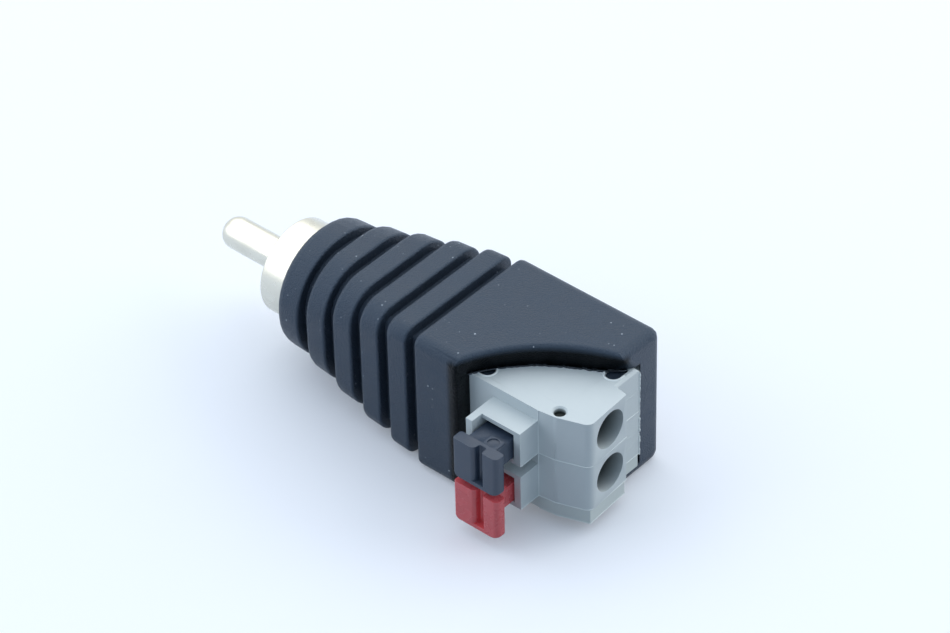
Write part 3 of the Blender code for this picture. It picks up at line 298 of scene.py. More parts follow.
def paintBoreShade(tree, place, colour):
    # mixes painted shade into a colour, inside each bore's radius and growing with depth
    for bore in shadedBores.values():
        near = addNode(tree, "ShaderNodeVectorMath", {"operation": "SUBTRACT"},
                       {0: place, 1: rearFace + Vector(bore["axis"]) * mm}).outputs["Vector"]
        flat = addNode(tree, "ShaderNodeVectorMath", {"operation": "MULTIPLY"},
                       {0: near, 1: bore["across"]}).outputs["Vector"]
        reach = addNode(tree, "ShaderNodeVectorMath", {"operation": "LENGTH"}, {0: flat}).outputs["Value"]
        inside = addNode(tree, "ShaderNodeMath", {"operation": "LESS_THAN"},
                         {0: reach, 1: bore["radius"] * mm}).outputs["Value"]
        along = addNode(tree, "ShaderNodeSeparateXYZ", None, {"Vector": near}).outputs[bore["along"]]
        depth = addNode(tree, "ShaderNodeMapRange", None, {
            "Value": along, "From Min": bore["mouth"] * mm, "From Max": bore["deep"] * mm}).outputs["Result"]
        share = addNode(tree, "ShaderNodeMath", {"operation": "MULTIPLY"},
                        {0: inside, 1: depth}).outputs["Value"]
        colour = addNode(tree, "ShaderNodeMix", {"data_type": "RGBA"},
                         {0: share, 6: colour, 7: srgb(paintedBoreShade)}).outputs[2]
    return colour


def makePlainFinish(kind):
    look = plainFinishes[kind]
    material, tree, shader, place = startMaterial(look["name"])
    drift = addNode(tree, "ShaderNodeTexNoise", None,
                    {"Vector": place, "Scale": 1 / look["drift"], "Detail": 3.0}).outputs["Fac"]
    grain = addNode(tree, "ShaderNodeTexNoise", None,
                    {"Vector": place, "Scale": 1 / look["grain"], "Detail": 2.0}).outputs["Fac"]
    colour = addNode(tree, "ShaderNodeMix", {"data_type": "RGBA"},
                     {0: drift, 6: srgb(look["low"]), 7: srgb(look["high"])}).outputs[2]
    if kind == "grey":
        # painted shade inside the wire entries and the probe hole
        colour = paintBoreShade(tree, place, colour)
    gloss = addNode(tree, "ShaderNodeMapRange", None, {
        "Value": drift, "From Min": 0.3, "From Max": 0.7, "To Min": look["roughness"][0],
        "To Max": look["roughness"][1]})
    relief = addNode(tree, "ShaderNodeBump", None,
                     {"Height": grain, "Strength": 0.6, "Distance": look["depth"]})
    fillSockets(tree, shader,
                {"Base Color": colour, "IOR": look["ior"], "Metallic": look.get("metallic", 0.0),
                               "Roughness": gloss.outputs["Result"], "Normal": relief.outputs["Normal"]})
    return material


finishes = {"abs": makeMouldedAbs(), "flash": makeGlossyFlash(), "nickel": makeNickelPlate()}
for kind in plainFinishes:
    finishes[kind] = makePlainFinish(kind)
print("finishes ready:", len(finishes))


def showPiece(name, mesh, finish, body, slotName, *nodes):
    # puts a mesh in the scene on its body, in place of the CAD nodes that it stands for
    mesh.materials.clear()
    mesh.materials.append(finishes[finish])
    mesh.polygons.foreach_set("material_index", [0] * len(mesh.polygons))
    piece = bpy.data.objects.new(name, mesh)
    bpy.context.scene.collection.objects.link(piece)
    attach(piece, body)
    if nodes:
        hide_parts(*nodes)
    return piece


def keepModifiers(piece):
    bpy.context.view_layer.update()
    mesh = bpy.data.meshes.new_from_object(piece.evaluated_get(bpy.context.evaluated_depsgraph_get()))
    piece.modifiers.clear()
    piece.data = mesh


def evenShading(piece, sharpAngle):
    piece.data.shade_smooth()
    piece.data.set_sharp_from_angle(angle=math.radians(sharpAngle))
    even = piece.modifiers.new("even shading", "WEIGHTED_NORMAL")
    even.keep_sharp = True
    keepModifiers(piece)


plainSharp = 40  # degrees past which an edge stays sharp, for a piece that names none
roundEdge = {"segments": 2, "angle": math.radians(35)}

# How each CAD piece is dressed: its body, its finish and slot, and the radius that the tool left on sharp edges
dressing = {
    "housing": {"body": "connector", "finish": "abs", "slot": "black_moulding", "edge": 0.0, "sharp": 42},
    "terminal_module_upper": {"body": "connector", "finish": "grey", "slot": "grey_polyamide", "edge": 0.06 * mm},
    "terminal_module_lower": {"body": "connector", "finish": "grey", "slot": "grey_polyamide", "edge": 0.06 * mm},
    # the end plate's finish carries painted light: a lighter tone of the same polyamide
    "terminal_end_plate": {"body": "connector", "finish": "plateGreyPaintedLight", "slot": "grey_polyamide",
                           "edge": 0.05 * mm},
    "button_black": {"body": "black_push_button", "finish": "dark", "slot": "dark_polyamide", "edge": 0.12 * mm,
                     "sharp": 45},
    "button_red": {"body": "red_push_button", "finish": "red", "slot": "red_polyamide", "edge": 0.12 * mm,
                   "sharp": 45},
    "rca_insulator": {"body": "connector", "finish": "whiteAcetal", "slot": "white_insulator", "edge": 0.08 * mm},
    "ground_lug": {"body": "connector", "finish": "tinnedBrass", "slot": "tinned_brass", "edge": 0.04 * mm},
    "contact_bar_upper": {"body": "connector", "finish": "tinnedBrass", "slot": "tinned_brass",
                          "edge": 0.06 * mm},
    "contact_bar_lower": {"body": "connector", "finish": "tinnedBrass", "slot": "tinned_brass",
                          "edge": 0.06 * mm},
    "clamp_spring_upper": {"body": "connector", "finish": "springSteel", "slot": "spring_steel",
                           "edge": 0.04 * mm},
    "clamp_spring_lower": {"body": "connector", "finish": "springSteel", "slot": "spring_steel",
                           "edge": 0.04 * mm},
    "circuit_board": {"body": "connector", "finish": "glassEpoxy", "slot": "green_laminate", "edge": 0.03 * mm},
    "ferrite_core": {"body": "connector", "finish": "ferrite", "slot": "ferrite", "edge": 0.0, "sharp": 50},
    "signal_lead": {"body": "connector", "finish": "redSheath", "slot": "red_insulation", "edge": 0.0,
                    "sharp": 60},
    "ground_lead": {"body": "connector", "finish": "blackSheath", "slot": "black_insulation", "edge": 0.0,
                    "sharp": 60},
}


def cleanCopy(node):
    # one skin of a CAD node: shared corners joined, and flat triangles run together
    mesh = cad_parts[node].data.copy()
    skin = bmesh.new()
    skin.from_mesh(mesh)
    bmesh.ops.remove_doubles(skin, verts=skin.verts, dist=joinReach)
    bmesh.ops.dissolve_limit(skin, angle_limit=flatAngle, verts=skin.verts, edges=skin.edges)
    bmesh.ops.triangulate(skin, faces=[face for face in skin.faces if len(face.verts) > 4])
    if node in modules:
        finishModule(skin, modules[node])
    skin.to_mesh(mesh)
    skin.free()
    return mesh


# Terminal modules: the CAD's clearance between them is closed, and each wire entry is drawn straight and deeper
modules = {
    "terminal_module_upper": {"entry": Vector((-1.62, 2.80)) * mm, "gap": 0.05 * mm},
    "terminal_module_lower": {"entry": Vector((-1.62, -2.20)) * mm, "gap": 0.05 * mm},
}
entryBore = {"radius": 1.9 * mm, "start": 0.37 * mm, "end": -1.30 * mm, "aside": 0.03 * mm, "along": 0.02 * mm}


def finishModule(skin, module):
    bottom = min(corner.co.z for corner in skin.verts)
    for corner in skin.verts:
        place = corner.co - rearFace
        radius = (Vector((place.y, place.z)) - module["entry"]).length
        onWall = abs(radius - entryBore["radius"]) < entryBore["aside"]
        if abs(corner.co.z - bottom) < levelReach:
            corner.co.z -= module["gap"]
        elif onWall and abs(place.x - entryBore["start"]) < entryBore["along"]:
            corner.co.x = rearFace.x + entryBore["end"]


# Where a bottom edge of a module shows, in mm from the rear face: in front of "front", or beyond "side" up to
# "corner", where the faces meet at more than "crease" radians.
# "reach" keeps a ridge inside the wire face's foremost corner
seamLimits = {"reach": 1.82, "front": 0.25, "side": -4.3, "corner": -2.96, "crease": 1.0}
seamPieces = ("terminal_module_upper", "terminal_module_lower", "terminal_end_plate")


def seamEdges(node):
    # the outer bottom edges of a module, where it stands on the piece below: [place, place] pairs in mm
    skin = bmesh.new()
    skin.from_mesh(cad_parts[node].data)
    bmesh.ops.remove_doubles(skin, verts=skin.verts, dist=joinReach)
    bottom = min(corner.co.z for corner in skin.verts)
    pairs = []
    for edge in skin.edges:
        ends = [(corner.co - rearFace) / mm for corner in edge.verts]
        for end in ends:
            end.x = min(end.x, seamLimits["reach"])
        middle = (ends[0] + ends[1]) / 2
        level = all(abs(corner.co.z - bottom) < levelReach for corner in edge.verts)
        beside = middle.y < seamLimits["side"] and middle.x > seamLimits["corner"]
        outer = middle.x > seamLimits["front"] or beside
        if level and outer and edge.calc_face_angle(0) > seamLimits["crease"]:
            pairs.append([tuple(end) for end in ends])
    skin.free()
    return pairs


def dressNode(node):
    look = dressing[node]
    piece = showPiece(node + "_skin", cleanCopy(node), look["finish"], look["body"], look["slot"], node)
    if look["edge"] > 0:
        edge = piece.modifiers.new("mould radius", "BEVEL")
        edge.width = look["edge"]
        edge.segments = roundEdge["segments"]
        edge.limit_method = "ANGLE"
        edge.angle_limit = roundEdge["angle"]
        edge.miter_outer = "MITER_ARC"
        keepModifiers(piece)
    evenShading(piece, look.get("sharp", plainSharp))


for node in dressing:
    dressNode(node)
print("CAD pieces dressed:", len(dressing))

# Turned contacts of the plug, as (x from the housing's rear face, radius) in mm round the plug's axis
turnedContacts = {
    "rca_center_pin": {
        "sides": 96, "closed": False, "sharp": 38,
        "profile": [(-45.5, 0), (-45.5, 0.62), (-45.46, 0.74), (-45.3, 1.02), (-45.0, 1.33), (-44.7, 1.49),
                    (-44.4, 1.57),
                    (-44.1, 1.6), (-44.0, 1.6), (-34.02, 1.6), (-33.94, 1.6), (-33.9, 1.64), (-33.9, 2.14),
                    (-33.84, 2.2),
                    (-33.42, 2.2), (-33.36, 2.14), (-33.36, 1.2), (-28.07, 1.2), (-28.02, 1.15), (-28.02, 0.7),
                    (-29.42, 0.7), (-29.42, 0)],
    },
    "rca_sleeve": {
        "sides": 128, "closed": True, "sharp": 38,
        "profile": [(-37.1, 4.4), (-37.1, 4.6), (-37.06, 4.68), (-36.98, 4.74), (-36.9, 4.75), (-36.6, 4.75),
                    (-31.35, 4.75),
                    (-31.3, 4.7), (-31.3, 2.68), (-31.9, 2.68), (-31.9, 4.2), (-31.85, 4.25), (-36.8, 4.25),
                    (-36.95, 4.27), (-37.05, 4.32)],
    },
}


def turnContact(node):
    contact = turnedContacts[node]
    skin = bmesh.new()
    rows = []
    for x, radius in contact["profile"]:
        centre = rearFace + Vector((x, 0, 0)) * mm
        sides = contact["sides"] if radius else 1
        turns = [2 * math.pi * side / sides for side in range(sides)]
        rows.append([skin.verts.new(centre + Vector((0, math.cos(turn),
                                                     math.sin(turn))) * radius * mm) for turn in turns])
    if contact["closed"]:
        rows.append(rows[0])
    for first, second in zip(rows, rows[1:]):
        for side in range(contact["sides"]):
            after = side + 1
            corners = [first[side % len(first)], first[after % len(first)], second[after % len(second)],
                       second[side % len(second)]]
            skin.faces.new(dict.fromkeys(corners))
    bmesh.ops.recalc_face_normals(skin, faces=skin.faces)
    mesh = bpy.data.meshes.new(node + "_turned")
    skin.to_mesh(mesh)
    skin.free()
    piece = showPiece(node + "_turned", mesh, "nickel", "connector", "nickel_plate", node)
    evenShading(piece, contact["sharp"])


for node in turnedContacts:
    turnContact(node)
print("plug contacts turned")


def startTree(name, sizes):
    tree = bpy.data.node_groups.new(name, "GeometryNodeTree")
    tree.interface.new_socket("Geometry", in_out="INPUT", socket_type="NodeSocketGeometry")
    for label, kind in sizes.items():
        tree.interface.new_socket(label, in_out="INPUT", socket_type=kind)
    tree.interface.new_socket("Geometry", in_out="OUTPUT", socket_type="NodeSocketGeometry")
    return tree, addNode(tree, "NodeGroupInput").outputs


def endTree(tree, geometry, material):
    plain = addNode(tree, "GeometryNodeRealizeInstances", None, {"Geometry": geometry}).outputs["Geometry"]
    painted = addNode(tree, "GeometryNodeSetMaterial", None,
                      {"Geometry": plain, "Material": material}).outputs["Geometry"]
    addNode(tree, "NodeGroupOutput", None, {"Geometry": painted})
    return tree


def growPiece(name, tree, sizes, source, finish, body, slotName, *nodes):
    # runs a tree on a source mesh, and keeps its result as a plain mesh
    holder = bpy.data.objects.new(name + "_source", source)
    bpy.context.scene.collection.objects.link(holder)
    grow = holder.modifiers.new(name, "NODES")
    grow.node_group = tree
    for item in tree.interface.items_tree:
        if item.in_out == "INPUT" and item.name in sizes:
            grow[item.identifier] = sizes[item.name]
        if item.in_out == "INPUT" and item.name == "Material":
            grow[item.identifier] = finishes[finish]
    bpy.context.view_layer.update()
    mesh = bpy.data.meshes.new_from_object(holder.evaluated_get(bpy.context.evaluated_depsgraph_get()))
    bpy.data.objects.remove(holder)
    return showPiece(name, mesh, finish, body, slotName, *nodes)


# Where the circuit board and the core stand: along the block's slanting base, in mm from the rear face
board = {"turn": math.radians(40.3), "foot": (-0.7025, 5.382), "back": 1.3, "middle": 7.7}


def boardPoint(along, away, height):
    # a place given along the board from the block's foot, away from the block, and up from the board's middle
    turn = board["turn"]
    x = board["foot"][0] - math.cos(turn) * along - math.sin(turn) * away
    y = board["foot"][1] - math.sin(turn) * along + math.cos(turn) * away
    return Vector((x + rear[0], y + rear[1], board["middle"] + height)) * mm


def boardTurn():
    turn = board["turn"]
    along = Vector((-math.cos(turn), -math.sin(turn), 0))
    away = Vector((-math.sin(turn), math.cos(turn), 0))
    return Matrix((along, away.cross(along), away)).transposed().to_4x4()


# Transformer windings: one enamelled wire laid round each half of the core
winding = {
    "turns": 7, "pointsPerTurn": 24, "wireRadius": 0.18 * mm, "ringRadius": 1.9 * mm, "halfWidth": 0.94 * mm,
    "halfHeight": 1.44 * mm, "spread": math.radians(125), "squareness": 0.6, "sides": 10,
    "middles": {"line_winding": 0.0, "plug_winding": math.pi},
}


def windingTree():
    tree, size = startTree("winding", {
        "Points": "NodeSocketInt", "Turns": "NodeSocketFloat", "Middle": "NodeSocketFloat",
        "Spread": "NodeSocketFloat", "Ring Radius": "NodeSocketFloat", "Half Width": "NodeSocketFloat",
        "Half Height": "NodeSocketFloat", "Squareness": "NodeSocketFloat", "Wire Radius": "NodeSocketFloat",
        "Sides": "NodeSocketInt", "Material": "NodeSocketMaterial"})
    line = addNode(tree, "GeometryNodeMeshLine", None, {"Count": size["Points"]}).outputs["Mesh"]
    index = addNode(tree, "GeometryNodeInputIndex").outputs["Index"]
    last = addNode(tree, "ShaderNodeMath", {"operation": "SUBTRACT"}, {0: size["Points"], 1: 1.0}).outputs[0]
    share = addNode(tree, "ShaderNodeMath", {"operation": "DIVIDE"}, {0: index, 1: last}).outputs[0]
    turns = addNode(tree, "ShaderNodeMath", {"operation": "MULTIPLY"}, {0: share, 1: size["Turns"]}).outputs[0]
    turn = addNode(tree, "ShaderNodeMath", {"operation": "MULTIPLY"}, {0: turns, 1: 2 * math.pi}).outputs[0]
    centred = addNode(tree, "ShaderNodeMath", {"operation": "SUBTRACT"}, {0: share, 1: 0.5}).outputs[0]
    around = addNode(tree, "ShaderNodeMath", {"operation": "MULTIPLY_ADD"},
                     {0: centred, 1: size["Spread"], 2: size["Middle"]}).outputs[0]
    squared = {}
    for wave in ("COSINE", "SINE"):
        plain = addNode(tree, "ShaderNodeMath", {"operation": wave}, {0: turn}).outputs[0]
        amount = addNode(tree, "ShaderNodeMath", {"operation": "ABSOLUTE"}, {0: plain}).outputs[0]
        amount = addNode(tree, "ShaderNodeMath", {"operation": "POWER"},
                         {0: amount, 1: size["Squareness"]}).outputs[0]
        side = addNode(tree, "ShaderNodeMath", {"operation": "SIGN"}, {0: plain}).outputs[0]
        squared[wave] = addNode(tree, "ShaderNodeMath", {"operation": "MULTIPLY"},
                                {0: amount, 1: side}).outputs[0]
    radius = addNode(tree, "ShaderNodeMath", {"operation": "MULTIPLY_ADD"},
                     {0: squared["COSINE"], 1: size["Half Width"], 2: size["Ring Radius"]}).outputs[0]
    height = addNode(tree, "ShaderNodeMath", {"operation": "MULTIPLY"},
                     {0: squared["SINE"], 1: size["Half Height"]}).outputs[0]
    x = addNode(tree, "ShaderNodeMath", {"operation": "COSINE"}, {0: around}).outputs[0]
    y = addNode(tree, "ShaderNodeMath", {"operation": "SINE"}, {0: around}).outputs[0]
    x = addNode(tree, "ShaderNodeMath", {"operation": "MULTIPLY"}, {0: x, 1: radius}).outputs[0]
    y = addNode(tree, "ShaderNodeMath", {"operation": "MULTIPLY"}, {0: y, 1: radius}).outputs[0]
    place = addNode(tree, "ShaderNodeCombineXYZ", None, {"X": x, "Y": y, "Z": height}).outputs["Vector"]
    moved = addNode(tree, "GeometryNodeSetPosition", None,
                    {"Geometry": line, "Position": place}).outputs["Geometry"]
    curve = addNode(tree, "GeometryNodeMeshToCurve", None, {"Mesh": moved}).outputs["Curve"]
    section = addNode(tree, "GeometryNodeCurvePrimitiveCircle", None,
                      {"Resolution": size["Sides"], "Radius": size["Wire Radius"]}).outputs["Curve"]
    wire = addNode(tree, "GeometryNodeCurveToMesh", None,
                   {"Curve": curve, "Profile Curve": section, "Fill Caps": True})
    return endTree(tree, wire.outputs["Mesh"], size["Material"])


def windCore():
    tree = windingTree()
    low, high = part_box("ferrite_core")
    centre = (Vector(low) + Vector(high)) / 2
    for node, middle in winding["middles"].items():
        coil = growPiece(node + "_coil", tree, {
            "Points": winding["turns"] * winding["pointsPerTurn"] + 1, "Turns": float(winding["turns"]),
            "Middle": middle, "Spread": winding["spread"], "Ring Radius": winding["ringRadius"],
            "Half Width": winding["halfWidth"], "Half Height": winding["halfHeight"],
            "Squareness": winding["squareness"], "Wire Radius": winding["wireRadius"], "Sides": winding["sides"]},
            bpy.data.meshes.new(node + "_seed"), "enamelledCopper", "connector", "enamelled_copper", node)
        coil.data.transform(Matrix.Translation(centre) @ boardTurn())
        coil.data.shade_smooth()


windCore()
print("core wound")

# Solder on the board's back: a cone of tin round each contact's pin and each lead's end
solderJoint = {"base": 0.95 * mm, "tip": 0.55 * mm, "height": 0.6 * mm, "sides": 24, "sharp": 50,
               "places": [(5.2, 2.5), (5.2, -2.5), (11.2, 3.9), (11.2, -3.9)]}


def solderTree():
    tree, size = startTree("solder joints", {
        "Base": "NodeSocketFloat", "Tip": "NodeSocketFloat", "Height": "NodeSocketFloat",
        "Sides": "NodeSocketInt", "Material": "NodeSocketMaterial"})
    cone = addNode(tree, "GeometryNodeMeshCone", None, {
        "Vertices": size["Sides"], "Side Segments": 4, "Radius Bottom": size["Base"], "Radius Top": size["Tip"],
        "Depth": size["Height"]}).outputs["Mesh"]
    joints = addNode(tree, "GeometryNodeInstanceOnPoints", None, {"Points": size["Geometry"], "Instance": cone})
    return endTree(tree, joints.outputs["Instances"], size["Material"])


def solderBoard():
    # the cones are laid out flat first, then turned with their points on to the board's back
    points = bpy.data.meshes.new("joint_places")
    points.from_pydata([(along * mm, -height * mm, 0) for along, height in solderJoint["places"]], [], [])
    joints = growPiece("solder_joints", solderTree(), {
        "Base": solderJoint["base"], "Tip": solderJoint["tip"], "Height": solderJoint["height"],
        "Sides": solderJoint["sides"]}, points, "solder", "connector", "tinned_brass")
    joints.data.transform(Matrix.Translation(boardPoint(0, board["back"], 0)) @ boardTurn())
    evenShading(joints, solderJoint["sharp"])


solderBoard()
print("board soldered")


def arcPath(proud):
    # places along the foot of the wall, moved out of it by proud
    start, end = Vector(arcFoot["start"]), Vector(arcFoot["end"])
    centre, radius = arcCircle()
    sweep = (start - centre).angle_signed(end - centre)
    places = []
    for i in range(arcFoot["steps"] + 1):
        share = arcFoot["first"] + (arcFoot["last"] - arcFoot["first"]) * i / arcFoot["steps"]
        spoke = Matrix.Rotation(-sweep * share, 2) @ (start - centre)
        x, y = centre + spoke
        ramp = min(max((y - start.y) / arcFoot["backRamp"], 0), 1)
        x -= arcFoot["back"] * ramp * max(1 - (x - start.x) / arcFoot["backLength"], 0)
        y += arcFoot["aside"] * max(1 + (centre + spoke).x / arcFoot["asideLength"], 0) ** 2
        inward = spoke.normalized() * proud
        places.append((x - inward.x, y - inward.y, arcFoot["level"]))
    return places


def pathMesh(name, paths):
    # one mesh of open lines; places are in mm from the rear face
    corners, edges = [], []
    for places in paths:
        edges += [(len(corners) + i, len(corners) + i + 1) for i in range(len(places) - 1)]
        corners += [rearFace + Vector(place) * mm for place in places]
    mesh = bpy.data.meshes.new(name)
    mesh.from_pydata(corners, edges, [])
    return mesh


def beadTree():
    tree, size = startTree("flash beads", {
        "Step": "NodeSocketFloat", "Size": "NodeSocketFloat", "Smallest": "NodeSocketFloat",
        "Largest": "NodeSocketFloat", "Longer": "NodeSocketFloat", "Flatness": "NodeSocketFloat",
        "Seed": "NodeSocketInt", "Material": "NodeSocketMaterial"})
    curve = addNode(tree, "GeometryNodeMeshToCurve", None, {"Mesh": size["Geometry"]}).outputs["Curve"]
    spaced = addNode(tree, "GeometryNodeResampleCurve", {"mode": "LENGTH"},
                     {"Curve": curve, "Length": size["Step"]})
    bead = addNode(tree, "GeometryNodeMeshIcoSphere", None,
                   {"Radius": size["Size"], "Subdivisions": 3}).outputs["Mesh"]
    tangent = addNode(tree, "GeometryNodeInputTangent").outputs["Tangent"]
    facing = addNode(tree, "FunctionNodeAlignRotationToVector", {"axis": "X"},
                     {"Vector": tangent}).outputs["Rotation"]
    amount = addNode(tree, "FunctionNodeRandomValue", {"data_type": "FLOAT"},
                     {2: size["Smallest"], 3: size["Largest"], 8: size["Seed"]}).outputs[1]
    length = addNode(tree, "ShaderNodeMath", {"operation": "MULTIPLY"}, {0: amount, 1: size["Longer"]}).outputs[0]
    height = addNode(tree, "ShaderNodeMath", {"operation": "MULTIPLY"},
                     {0: amount, 1: size["Flatness"]}).outputs[0]
    shape = addNode(tree, "ShaderNodeCombineXYZ", None, {"X": length, "Y": amount, "Z": height}).outputs["Vector"]
    beads = addNode(tree, "GeometryNodeInstanceOnPoints", None, {
        "Points": spaced.outputs["Curve"], "Instance": bead, "Rotation": facing, "Scale": shape})
    return endTree(tree, beads.outputs["Instances"], size["Material"])


# Flash: plastic that squeezed out of the tool's joints in a ragged row of beads
flashLines = {
    # arc_flash: its near-black finish is painted shade along the wall's foot
    "arc_flash": {"path": arcPath(0.13), "finish": "flash", "slot": "black_moulding", "step": 0.22 * mm,
                  "size": 0.15 * mm, "smallest": 0.4, "largest": 1.4, "longer": 1.8, "flatness": 0.7, "seed": 11},
    # foot_flash: its pale finish is painted highlight
    "foot_flash": {"path": [(0.31, 4.20, 4.5), (0.31, 4.20, -4.8)], "finish": "greyHighlight",
                   "slot": "grey_polyamide", "step": 0.21 * mm, "size": 0.075 * mm, "smallest": 0.3,
                   "largest": 1.5, "longer": 2.2, "flatness": 0.9, "seed": 5},
}


def layFlash():
    tree = beadTree()
    for name, line in flashLines.items():
        beads = growPiece(name, tree, {
            "Step": line["step"], "Size": line["size"], "Smallest": line["smallest"], "Largest": line["largest"],
            "Longer": line["longer"], "Flatness": line["flatness"], "Seed": line["seed"]},
            pathMesh(name + "_path", [line["path"]]), line["finish"], "connector", line["slot"])
        beads.data.shade_smooth()


layFlash()
print("flash laid")

# Mould lines on the grey modules: the raised rims of the two notches, and thin lines where the tool's parts met
notches = {"places": [((-9.79, -4.45), (-1.0, 0.0)), ((-0.95, 2.1), (0.0, 1.0))], "radius": 0.85, "neck": 0.45,
           "level": 5.10, "steps": 24}
lineSides = 16
mouldLines = {
    # arc_seam: its near-black finish is painted shade along the wall's foot
    "arc_seam": {"radius": 0.07 * mm, "finish": "flash", "slot": "black_moulding", "paths": [arcPath(0.0)]},
    # the pale finish on the notch rims, module seams and corner lines is painted highlight
    "notch_rims": {"radius": 0.12 * mm, "finish": "greyHighlight", "slot": "grey_polyamide", "paths": []},
    "module_seams": {"radius": 0.045 * mm, "finish": "greyHighlight", "slot": "grey_polyamide",
                     "paths": [pair for node in seamPieces for pair in seamEdges(node)]},
    "corner_lines": {"radius": 0.045 * mm, "finish": "greyHighlight", "slot": "grey_polyamide", "paths": [
        [(-2.92, -5.76, 5.12), (-2.92, -5.76, 0.24)], [(-2.92, -5.76, 0.12), (-2.92, -5.76, -4.76)]]},
    "tool_lines": {"radius": 0.035 * mm, "finish": "grey", "slot": "grey_polyamide", "paths": [
        [(-1.19, -5.53, 2.25), (-1.19, -5.53, -1.30)],
        [(0.29, 1.6, 2.75), (0.29, 3.3, 2.55), (0.29, 3.9, 2.75)],
        [(0.29, 1.5, -1.9), (0.29, 3.2, -2.1), (0.29, 3.9, -1.8)],
        [(0.29, 1.5, -3.2), (0.29, 2.6, -3.35), (0.29, 3.9, -3.1)]]},
}


def notchRims():
    rims = []
    for place, way in notches["places"]:
        place, way = Vector(place), Vector(way)
        across = Vector((-way.y, way.x))
        turns = [math.pi * i / notches["steps"] for i in range(notches["steps"] + 1)]
        rim = [place + (across * math.cos(turn) - way * math.sin(turn)) * notches["radius"] for turn in turns]
        rim = [rim[0] + way * notches["neck"]] + rim + [rim[-1] + way * notches["neck"]]
        rims.append([(point.x, point.y, notches["level"]) for point in rim])
    return rims


def lineTree():
    tree, size = startTree("mould lines", {
        "Radius": "NodeSocketFloat", "Sides": "NodeSocketInt", "Material": "NodeSocketMaterial"})
    curve = addNode(tree, "GeometryNodeMeshToCurve", None, {"Mesh": size["Geometry"]}).outputs["Curve"]
    section = addNode(tree, "GeometryNodeCurvePrimitiveCircle", None,
                      {"Resolution": size["Sides"], "Radius": size["Radius"]}).outputs["Curve"]
    line = addNode(tree, "GeometryNodeCurveToMesh", None,
                   {"Curve": curve, "Profile Curve": section, "Fill Caps": True})
    return endTree(tree, line.outputs["Mesh"], size["Material"])


def drawMouldLines():
    mouldLines["notch_rims"]["paths"] = notchRims()
    tree = lineTree()
    for name, line in mouldLines.items():
        ridge = growPiece(name, tree, {"Radius": line["radius"], "Sides": lineSides},
                          pathMesh(name + "_path", line["paths"]), line["finish"], "connector", line["slot"])
        ridge.data.shade_smooth()


drawMouldLines()
print("mould lines drawn")

# Camera of the photograph, fitted to the corners of the block and the housing
photoCamera = {"azimuth": 41.781, "elevation": 40.018, "roll": -1.390, "distance": 395.43 * mm, "lens": 166.756,
               "sensor": 36.0, "aim": (3.635 * mm, 5.402 * mm, 9.160 * mm)}


def placeCamera():
    azimuth, elevation = math.radians(photoCamera["azimuth"]), math.radians(photoCamera["elevation"])
    back = Vector((math.sin(azimuth) * math.cos(elevation), -math.cos(azimuth) * math.cos(elevation),
                   math.sin(elevation)))
    right = Vector((math.cos(azimuth), math.sin(azimuth), 0))
    up = back.cross(right)
    roll = math.radians(photoCamera["roll"])
    across = right * math.cos(roll) + up * math.sin(roll)
    upright = up * math.cos(roll) - right * math.sin(roll)
    camera = bpy.data.cameras.new("photo_camera")
    camera.lens = photoCamera["lens"]
    camera.sensor_width = photoCamera["sensor"]
    camera.clip_start = 0.01
    holder = bpy.data.objects.new("photo_camera", camera)
    turn = Matrix((across, upright, back)).transposed().to_4x4()
    holder.matrix_world = Matrix.Translation(Vector(photoCamera["aim"]) + back * photoCamera["distance"]) @ turn
    bpy.context.scene.collection.objects.link(holder)
    bpy.context.scene.camera = holder


placeCamera()
print("camera placed")

# White table in a small product studio: one soft box behind and above, one on each side, cool daylight round them
studio = {
    "floor": "#e3e6ec", "floorBounce": "#92979e", "floorGlow": 0.15, "glow": "#f6faff", "backdrop": "#f6fafd",
    "sky": "#d2e8ff", "skyStrength": 0.62, "aim": (5, 2, 6),
    "lamps": {
        "back_softbox": {"from": (-0.40, 0.36, 0.84), "distance": 0.60, "size": 0.80, "power": 2.20,
                         "colour": "#fdfaf6"},
        "right_softbox": {"from": (0.56, 0.72, 0.41), "distance": 0.50, "size": 0.50, "power": 1.36,
                          "colour": "#fdfaf6"},
        "left_softbox": {"from": (-0.70, -0.52, 0.49), "distance": 0.50, "size": 0.50, "power": 0.98,
                         "colour": "#f4f8ff"},
    },
}


def seenShare(tree):
    # 1 for what the camera, a mirror or clear plastic shows, 0 for light that falls on the object
    path = addNode(tree, "ShaderNodeLightPath")
    either = addNode(tree, "ShaderNodeMath", {"operation": "MAXIMUM"},
                     {0: path.outputs["Is Glossy Ray"], 1: path.outputs["Is Transmission Ray"]}).outputs[0]
    return addNode(tree, "ShaderNodeMath", {"operation": "MAXIMUM"},
                   {0: path.outputs["Is Camera Ray"], 1: either}).outputs[0]


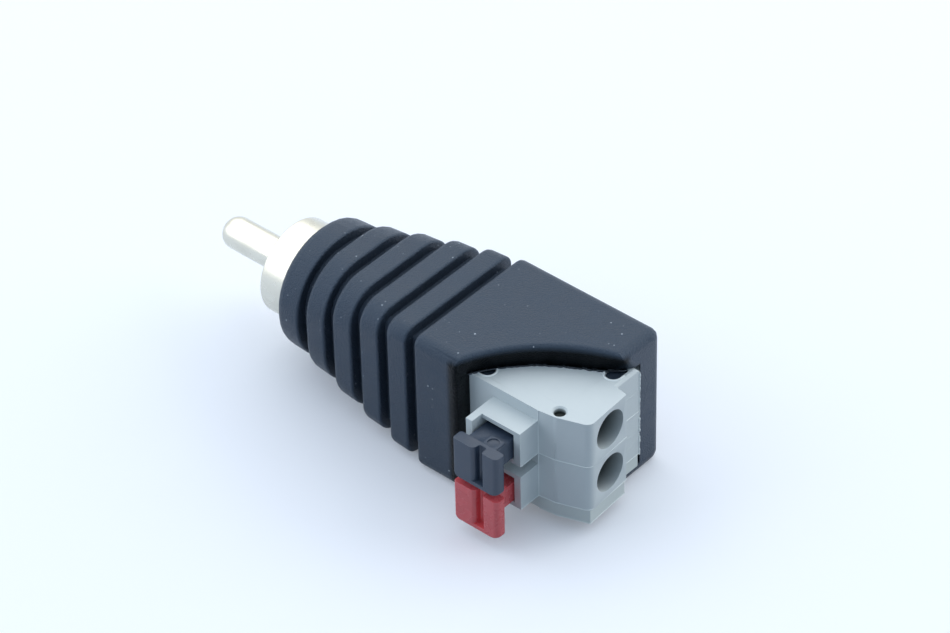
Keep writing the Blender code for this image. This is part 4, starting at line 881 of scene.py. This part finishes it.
def makeWorld():
    world = bpy.data.worlds.new("studio_cove")
    bpy.context.scene.world = world
    world.use_nodes = True
    tree = world.node_tree
    tree.nodes.clear()
    light = addNode(tree, "ShaderNodeBackground", None,
                    {"Color": srgb(studio["sky"]), "Strength": studio["skyStrength"]})
    shown = addNode(tree, "ShaderNodeBackground", None, {"Color": srgb(studio["backdrop"]), "Strength": 1.0})
    both = addNode(tree, "ShaderNodeMixShader", None,
                   {0: seenShare(tree), 1: light.outputs[0], 2: shown.outputs[0]})
    addNode(tree, "ShaderNodeOutputWorld", None, {"Surface": both.outputs[0]})


def makeFloor():
    material = bpy.data.materials.new("white_table_top")
    material.use_nodes = True
    tree = material.node_tree
    tree.nodes.clear()
    seen = seenShare(tree)
    colour = addNode(tree, "ShaderNodeMix", {"data_type": "RGBA"},
                     {0: seen, 6: srgb(studio["floorBounce"]), 7: srgb(studio["floor"])}).outputs[2]
    matt = addNode(tree, "ShaderNodeBsdfDiffuse", None, {"Color": colour})
    strength = addNode(tree, "ShaderNodeMath", {"operation": "MULTIPLY"},
                       {0: seen, 1: studio["floorGlow"]}).outputs[0]
    glow = addNode(tree, "ShaderNodeEmission", None, {"Color": srgb(studio["glow"]), "Strength": strength})
    both = addNode(tree, "ShaderNodeAddShader", None, {0: matt.outputs[0], 1: glow.outputs[0]})
    addNode(tree, "ShaderNodeOutputMaterial", None, {"Surface": both.outputs[0]})
    mesh = bpy.data.meshes.new("table_top")
    reach, low = 3.0, -0.01 * mm
    corners = [(-reach, -reach, low), (reach, -reach, low), (reach, reach, low), (-reach, reach, low)]
    mesh.from_pydata(corners, [], [(0, 1, 2, 3)])
    mesh.materials.append(material)
    floor = bpy.data.objects.new("table_top", mesh)
    bpy.context.scene.collection.objects.link(floor)


def placeLamps():
    aim = Vector(studio["aim"]) * mm
    for name, lamp in studio["lamps"].items():
        light = bpy.data.lights.new(name, "AREA")
        light.size = lamp["size"]
        light.energy = lamp["power"]
        light.color = srgb(lamp["colour"])[:3]
        holder = bpy.data.objects.new(name, light)
        way = Vector(lamp["from"]).normalized()
        holder.location = aim + way * lamp["distance"]
        holder.rotation_euler = way.to_track_quat("Z", "Y").to_euler()
        bpy.context.scene.collection.objects.link(holder)


makeWorld()
makeFloor()
placeLamps()
bpy.context.scene.view_settings.view_transform = "Standard"
print("studio lit")
